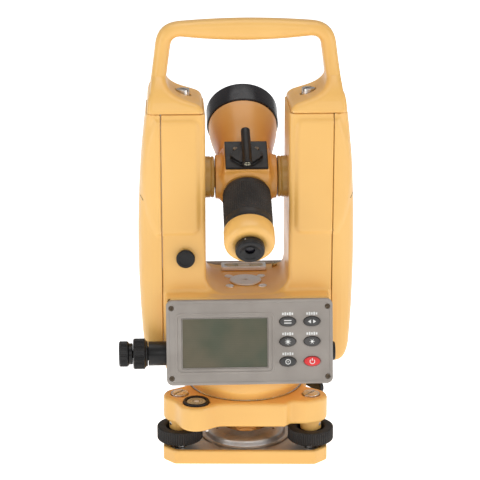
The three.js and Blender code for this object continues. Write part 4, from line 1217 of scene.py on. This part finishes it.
def mark(shapes, look, place, surface, rise=0.06):
    """Flat printed marks: each shape is a list of convex outlines laid on a surface height."""
    vertices, faces = [], []
    for outline in shapes:
        count = len(outline)
        start = len(vertices)
        for lift in (rise, -0.12):
            vertices.extend((x, y, surface(x, y) + lift) for x, y in outline)
        faces.append(tuple(range(start, start + count)))
        faces.append(tuple(range(start + 2 * count - 1, start + count - 1, -1)))
        for i in range(count):
            j = (i + 1) % count
            faces.append((start + i, start + count + i, start + count + j, start + j))
    return make_object("mark", vertices, faces, look, place)


def bar(x, y, length, width, turn=0.0):
    c, s = math.cos(turn), math.sin(turn)
    corners = [(-length / 2, -width / 2), (length / 2, -width / 2), (length / 2, width / 2),
               (-length / 2, width / 2)]
    return [(x + c * u - s * v, y + s * u + c * v) for u, v in corners]


def arc(radius, width, start, end, count=20, x=0.0, y=0.0):
    shapes = []
    for i in range(count):
        a = math.radians(start + (end - start) * i / count)
        b = math.radians(start + (end - start) * (i + 1) / count)
        inner, outer = radius - width / 2, radius + width / 2
        quad = ((inner, a), (outer, a), (outer, b), (inner, b))
        shapes.append([(x + r * math.cos(t), y + r * math.sin(t)) for r, t in quad])
    return shapes


def disc(radius, x=0.0, y=0.0, count=16):
    return [(x + radius * math.cos(2 * math.pi * i / count), y + radius * math.sin(2 * math.pi * i / count))
            for i in range(count)]


def key_icons():
    """Plain signs: equals bars, two arrowheads, a lamp, a small lamp, a ring, and the power sign."""
    rays = [bar(1.45 * math.cos(t), 1.45 * math.sin(t), 0.6, 0.32, t) for t in np.arange(8) * math.pi / 4]
    few = [bar(1.25 * math.cos(t), 1.25 * math.sin(t), 0.45, 0.3, t) for t in np.arange(6) * math.pi / 3]
    right = [(0.6, -1.1), (2.4, 0), (0.6, 1.1)]
    left = [(-x, y) for x, y in reversed(right)]
    return {
        "1a": [bar(x, y, 0.62, 0.6) for x in np.arange(-1.8, 2, 0.6) for y in (-0.75, 0.75)],
        "1b": [left, right],
        "2a": [disc(0.95)] + rays,
        "2b": [disc(0.8)] + few,
        "3a": arc(1.35, 0.5, 0, 360, 28) + [disc(0.35)],
        "3b": arc(1.35, 0.4, 130, 410, 24) + [bar(0, 1.2, 0.45, 1.5)],
    }


def keypad(face, place):
    icons = key_icons()
    captions = []
    for row, y in enumerate(KEY_ROWS):
        for column, x in enumerate(KEY_COLUMNS):
            label = f"{row + 1}{'ab'[column]}"
            node = f"{face}_key_{label}"
            look = RED_RUBBER if label == "3b" else KEY_RUBBER
            spot = at(x, y, 0, place)
            cap = key_cap(f"{node}_cap", look, spot)
            enlarged = [[(1.25 * u, 1.25 * v) for u, v in outline] for outline in icons[label]]
            sign = mark(enlarged, WHITE_INK, spot, key_height)
            settle(join(f"{node}_cap", [cap, sign]), node, node)
            if label != "3b":
                captions += [bar(x + 1.7 * i, y + 5.6, 1.2, 2.3 if i % 2 else 1.7) for i in range(-2, 3)]
    field = mark(captions, WHITE_INK, place, lambda x, y: -0.35, 0.05)
    settle(join(f"{face}_captions", [field]), "alidade")


# ---------------------------------------------------------------------------
# Telescope, along +Z towards the objective
# ---------------------------------------------------------------------------

HOOD_START = 55.3
HOOD_END = 74.0


def telescope_body():
    def distance(x, y, z):
        drum = rod(y, z, x, (0, 0), 16, -22.4, 22.4, 0.7)
        core = box(x, y, z, (-18.6, -15.8, -15.8), (18.6, 15.8, 16), 5)
        neck = np.maximum(np.hypot(x, y) - 16.6, np.abs(z) - 16)
        block = box(x, y, z, (-16.4, -20, -14.5), (16.4, -8, 14.5), 1.0)
        body = melt(melt(drum, core, 3), neck, 3)
        body = melt(body, block, 2.5)
        flare = np.maximum(np.hypot(x, y) - (20.2 - 0.9 * (16 - z)), np.maximum(z - 16, 6 - z))
        body = melt(body, flare, 5)
        body = np.maximum(body, z - 16)
        body = melt(body, rod(y, z, x, (0, 0), 7.5, -56, 42, 0.4), 0.3)
        return carve(body, np.maximum(np.hypot(x, y) - 11, np.abs(z) - 30), 0.5)

    low, high = (-56, -20, -16), (42, 17, 16)
    # The telescope centre wears the darker enamel copy: painted shade from the standards.
    piece = sculpt("telescope_centre", distance, low, high, 0.85, SHADED_YELLOW, SCOPE, keep=0.5)
    settle(piece, "telescope", "telescope_body")


def telescope_tubes():
    outer = [(14, 14.5), (19.6, 14.5), (20.6, 19), (20.9, 24), (21.6, 29.5), (22.9, 35), (24.2, 40.5),
             (25.1, 46),
             (25.6, 50), (25.7, HOOD_START - GAP), (22, HOOD_START - GAP), (21, 45), (17, 28), (14, 20)]
    # The objective barrel wears the darker enamel copy: painted shade from the standards.
    barrel = revolve("barrel", outer, SHADED_YELLOW, 160, SCOPE, closed=True, angle=45)
    settle(barrel, "telescope", "objective_barrel")
    barrel.name = "objective_cone"
    hood = [(22.2, HOOD_START), (26.3, HOOD_START), (26.9, HOOD_START + 0.6), (26.9, HOOD_END - 1.6),
            (26.1, HOOD_END),
            (24.9, HOOD_END), (24.5, HOOD_END - 0.5), (24.5, HOOD_START + 7), (22.2, HOOD_START + 7)]
    shade = revolve("objective_shade", rounded(hood + hood[:1], 0.6, 3)[:-1], HOOD_BLACK,
                    160, SCOPE,
                    closed=True)
    settle(shade, "telescope", "objective_hood")
    lens = [(0, 66.2), (24.1, 66.2), (24.1, 67.8)] + [(24.1 * math.cos(t), 67.8 + 2.4 * math.sin(t))
                                                    for t in np.linspace(0.1, math.pi / 2, 12)]
    lens[-1] = (0, 70.2)
    settle(revolve("objective_glass", lens, LENS, 128, SCOPE), "telescope", "objective_lens")
    ring = revolve("lens_retainer", [(21.6, 68.6), (24.3, 68.0), (24.3, 70.4), (22.4, 70.2)], HOOD_BLACK,
                   128, SCOPE, closed=True)
    settle(ring, "telescope")
    bell = [(9, -16.1), (13, -16.1), (13, -56.8), (17.6, -56.8), (18.2, -57.5), (18.2, -66.5)]
    bell += curve_points((18.2, -66.5), (18.2, -71.5), (14.4, -71.5), 8)
    bell += [(11.4, -71.5), (11, -71.1), (9, -71.1)]
    settle(revolve("eyepiece_bell", bell, YELLOW, 128, SCOPE, closed=True, angle=50),
           "telescope", "eyepiece_housing")


def focus_ring():
    """A rubbered sleeve with a checkered grip between two smooth bands."""
    start, end, radius = -18.2, -56.5, 17.75
    inner = 13.3
    rows = [(inner, end), (radius - 0.7, end), (radius - 0.2, end + 0.5), (radius - 0.2, end + 1.2)]
    grip_low, grip_high = end + 1.4, start - 4.2
    pitch = 1.55
    count = int((grip_high - grip_low) / pitch)
    band = (1, 3)
    for i in range(count):
        z = grip_low + i * pitch
        if band[0] <= i <= band[1]:
            rows += [(radius - 0.2, z), (radius - 0.2, z + 0.7 * pitch)]
            continue
        rows += [(radius - 0.5, z), (radius, z + 0.18 * pitch), (radius, z + 0.7 * pitch),
                 (radius - 0.5, z + 0.88 * pitch)]
    rows += [(radius - 0.5, start - 4.0), (radius - 0.3, start - 3.6), (radius - 0.3, start - 1.6),
             (radius - 1.0, start),
             (inner, start)]
    first = grip_low + (band[1] + 1) * pitch

    def checks(turns, r, z):
        if not first < z < grip_high or r < radius - 0.1:
            return np.full(len(turns), r)
        wave = np.clip(0.5 + 1.1 * np.cos(68 * turns), 0, 1)
        return r - 0.5 * (1 - wave)

    sleeve = revolve("focus_sleeve", rows, RUBBER, 272, SCOPE, checks, closed=True, angle=50)
    settle(sleeve, "focus_ring", "focus_ring")


def eyepiece():
    profile = [(3.4, -75.2), (3.4, -76), (6.6, -77.2), (7.2, -78), (9.3, -78), (10.1, -77.5), (10.4, -76.6),
               (10.2, -76.1),
               (10.2, -75.8), (10.5, -75.5), (10.5, -72.2), (10.1, -71.8), (8.7, -71.8), (8.7, -60),
               (6.5, -60), (6.5, -75.2)]
    path = rounded(profile + profile[:1], 0.3, 2)[:-1]
    ring = revolve("eyepiece_cup", path, BLACK, 160, SCOPE, closed=True)
    lens = revolve("eye_lens", [(0, -74.2), (6.3, -74.2), (6.3, -73.6), (0, -73.2)][::-1], EYE_GLASS,
                   48, SCOPE)
    dot = revolve("index_dot", [(0, 0), (0.45, 0), (0.45, 0.12), (0, 0.12)], GREY_INK, 16,
                  SCOPE @ Matrix.Translation((-3.6, -9.82, -74.0)) @ Matrix.Rotation(-0.35, 4, "Z")
                  @ Matrix.Rotation(math.pi / 2, 4, "X"))
    settle(join("eyepiece_cup", [ring, lens, dot]), "eyepiece_ring", "eyepiece_ring")


def optical_sight():
    face, axis = -20.3, -27.5

    def distance(x, y, z):
        plate = box(x, y, z, (-15.5, face - 2, -14.2), (15.5, face, 14.2), 0.7)
        side = np.abs(x)
        wing = polygon(side, z, [(1, -11), (4.4, -11), (11.6, -4.5), (11.6, -1.5), (4.2, 6.5), (1, 6.5)])
        wings = np.maximum(wing, np.abs(y - (face - 3)) - 1.7)
        slope = (y - (face - 4.4)) * -1 - (11.6 - side) * 0.28
        wings = np.maximum(wings, slope)
        cheek = np.maximum(np.abs(x) - 2.6, np.maximum(np.abs(z) - 9.5, np.abs(y - (face + axis) / 2) - 4.2))
        tube = rod(x, y, z, (0, axis), 3.4, -16.5, 20, 0.5)
        collar = rod(x, y, z, (0, axis), 3.6, -16.5, -14.0, 0.4)
        body = melt(melt(melt(plate, wings, 0.6), cheek, 1), tube, 0.8)
        bore = np.hypot(x, y - axis) - 2.3
        return carve(np.minimum(body, collar), bore, 0.3)

    low, high = (-15.5, axis - 3.6, -16.5), (15.5, face, 20)
    body = sculpt("sight", distance, low, high, 0.45, BLACK, SCOPE, keep=0.5)
    parts = [body]
    for x in (-7.8, 7.8):
        place = SCOPE @ Matrix.Translation((x, face - 2, 5.5)) @ Matrix.Rotation(math.pi / 2, 4, "X")
        parts.append(slotted_head("sight_screw", 1.8, 1.0, DARK_SCREW, place @ Matrix.Rotation(x, 4, "Z"),
                                  slot_width=0.5,
                                  slot_depth=0.5))
    pane = revolve("sight_pane", [(0, -15.4), (2.35, -15.4), (2.35, -15.0), (0, -15.0)], VIAL_FLUID,
                   32,
                   SCOPE @ Matrix.Translation((0, axis, 0)))
    for turn in (0, math.pi / 2):
        place = SCOPE @ Matrix.Translation((0, axis, -15.5)) @ Matrix.Rotation(turn, 4, "Z")
        parts.append(mark([bar(0, 0, 4.4, 0.4)], BLACK, place, lambda x, y: 0.0, 0.05))
    settle(join("optical_sight_body", parts + [pane]), "telescope", "optical_sight")


# ---------------------------------------------------------------------------
# Scene
# ---------------------------------------------------------------------------


def clothe_inner_nodes():
    """CAD solids that stay as they are get finished materials too."""
    looks = {"vertical_axis_spindle": STEEL, "axis_sleeve": STEEL, "horizontal_circle": CLEAR,
             "vertical_circle": CLEAR,
             "battery_pack": BATTERY_BLACK, "circuit_board": BOARD}
    for node, look in looks.items():
        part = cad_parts[node]
        part.data.materials.clear()
        part.data.materials.append(look)


def camera():
    azimuth, elevation, distance = math.radians(-2.6), math.radians(17.5), 1.370
    target = Vector((-0.0041, 0, 0.1587))
    back = Vector((math.sin(azimuth) * math.cos(elevation), -math.cos(azimuth) * math.cos(elevation),
                   math.sin(elevation)))
    lens = bpy.data.cameras.new("camera")
    lens.lens = 138.6
    lens.sensor_width = 36
    eye = bpy.data.objects.new("camera", lens)
    eye.location = target + back * distance
    eye.rotation_euler = back.to_track_quat("Z", "Y").to_euler()
    bpy.context.scene.collection.objects.link(eye)
    bpy.context.scene.camera = eye


def softbox(name, place, aim, size, power):
    lamp = bpy.data.lights.new(name, "AREA")
    lamp.shape = "RECTANGLE"
    lamp.size, lamp.size_y = size
    lamp.energy = power
    holder = bpy.data.objects.new(name, lamp)
    holder.location = place
    holder.rotation_euler = (Vector(place) - Vector(aim)).to_track_quat("Z", "Y").to_euler()
    bpy.context.scene.collection.objects.link(holder)


# The world and the floor glow less than they show: both are 1 to the camera, which keeps the background
# white, and these strengths to every other ray, which keeps the object from being lit too much.
WORLD_GLOW = 0.32
FLOOR_GLOW = 0.6


def studio():
    middle = (0, 0, 0.17)
    softbox("left_softbox", (-1.25, -0.75, 0.55), middle, (0.55, 1.3), 5.9)
    softbox("right_softbox", (1.25, -0.75, 0.55), middle, (0.55, 1.3), 5.9)
    softbox("top_softbox", (0, 0.1, 1.5), middle, (1.3, 1.0), 7.2)
    softbox("front_softbox", (0.1, -1.9, 1.1), middle, (1.2, 0.8), 5.2)
    world = bpy.data.worlds.new("studio")
    world.use_nodes = True
    world.node_tree.nodes["Background"].inputs["Color"].default_value = (1, 1, 1, 1)
    rays = world.node_tree.nodes.new("ShaderNodeLightPath").outputs["Is Camera Ray"]
    seen = world.node_tree.nodes.new("ShaderNodeMapRange")
    seen.inputs["To Min"].default_value = WORLD_GLOW
    seen.inputs["To Max"].default_value = 1.0
    world.node_tree.links.new(rays, seen.inputs["Value"])
    world.node_tree.links.new(seen.outputs["Result"], world.node_tree.nodes["Background"].inputs["Strength"])
    bpy.context.scene.world = world
    bpy.context.scene.view_settings.view_transform = "Standard"
    look, shader, where = blank("floor_white", (0.9, 0.9, 0.9), 0.9)
    link(look, mixed(look, noise(look, where, 0.5, 2), (0.9, 0.9, 0.9), (0.92, 0.92, 0.92)),
         shader.inputs["Base Color"])
    shader.inputs["Emission Color"].default_value = (1, 1, 1, 1)
    rays = look.node_tree.nodes.new("ShaderNodeLightPath").outputs["Is Camera Ray"]
    link(look, spread(look, rays, FLOOR_GLOW, 1.0, 0, 1), shader.inputs["Emission Strength"])
    mesh = bpy.data.meshes.new("floor")
    mesh.from_pydata([(-4, -4, 0), (4, -4, 0), (4, 6, 0), (-4, 6, 0)], [], [(0, 1, 2, 3)])
    mesh.materials.append(look)
    floor = bpy.data.objects.new("floor", mesh)
    floor.location.z = -0.0002
    bpy.context.scene.collection.objects.link(floor)


def build():
    base_plate()
    spring_plate()
    for side in FEET:
        foot_screw(side)
    tribrach_body()
    tribrach_furniture()
    clamp_lever()
    limb_housing()
    alidade_frame()
    for side, way in (("left", -1), ("right", 1)):
        side_cover(side, way)
        trunnion_bearing(side, way)
    carry_handle()
    deck_furniture()
    plunger_cap("horizontal_plunger_cap", at(55.8, SIDE_KNOB[1], SIDE_KNOB[2])
                @ Matrix.Rotation(math.pi / 2, 4, "Y"))
    plunger_cap("vertical_plunger_cap", at(PLUG[0], -STANDARD_Y + 5.2, PLUG[1])
                @ Matrix.Rotation(math.pi / 2, 4, "X"))
    knobs("horizontal", at(-73, SIDE_KNOB[1], SIDE_KNOB[2]) @ Matrix.Rotation(-math.pi / 2, 4, "Y"))
    knobs("vertical", at(REAR_KNOB[0], STANDARD_Y + 6, REAR_KNOB[2]) @ Matrix.Rotation(-math.pi / 2, 4, "X"))
    for face, place in PANELS.items():
        bezel(face, place)
        display(face, place)
        keypad(face, place)
    telescope_body()
    telescope_tubes()
    focus_ring()
    eyepiece()
    optical_sight()
    clothe_inner_nodes()


camera()
studio()
build()
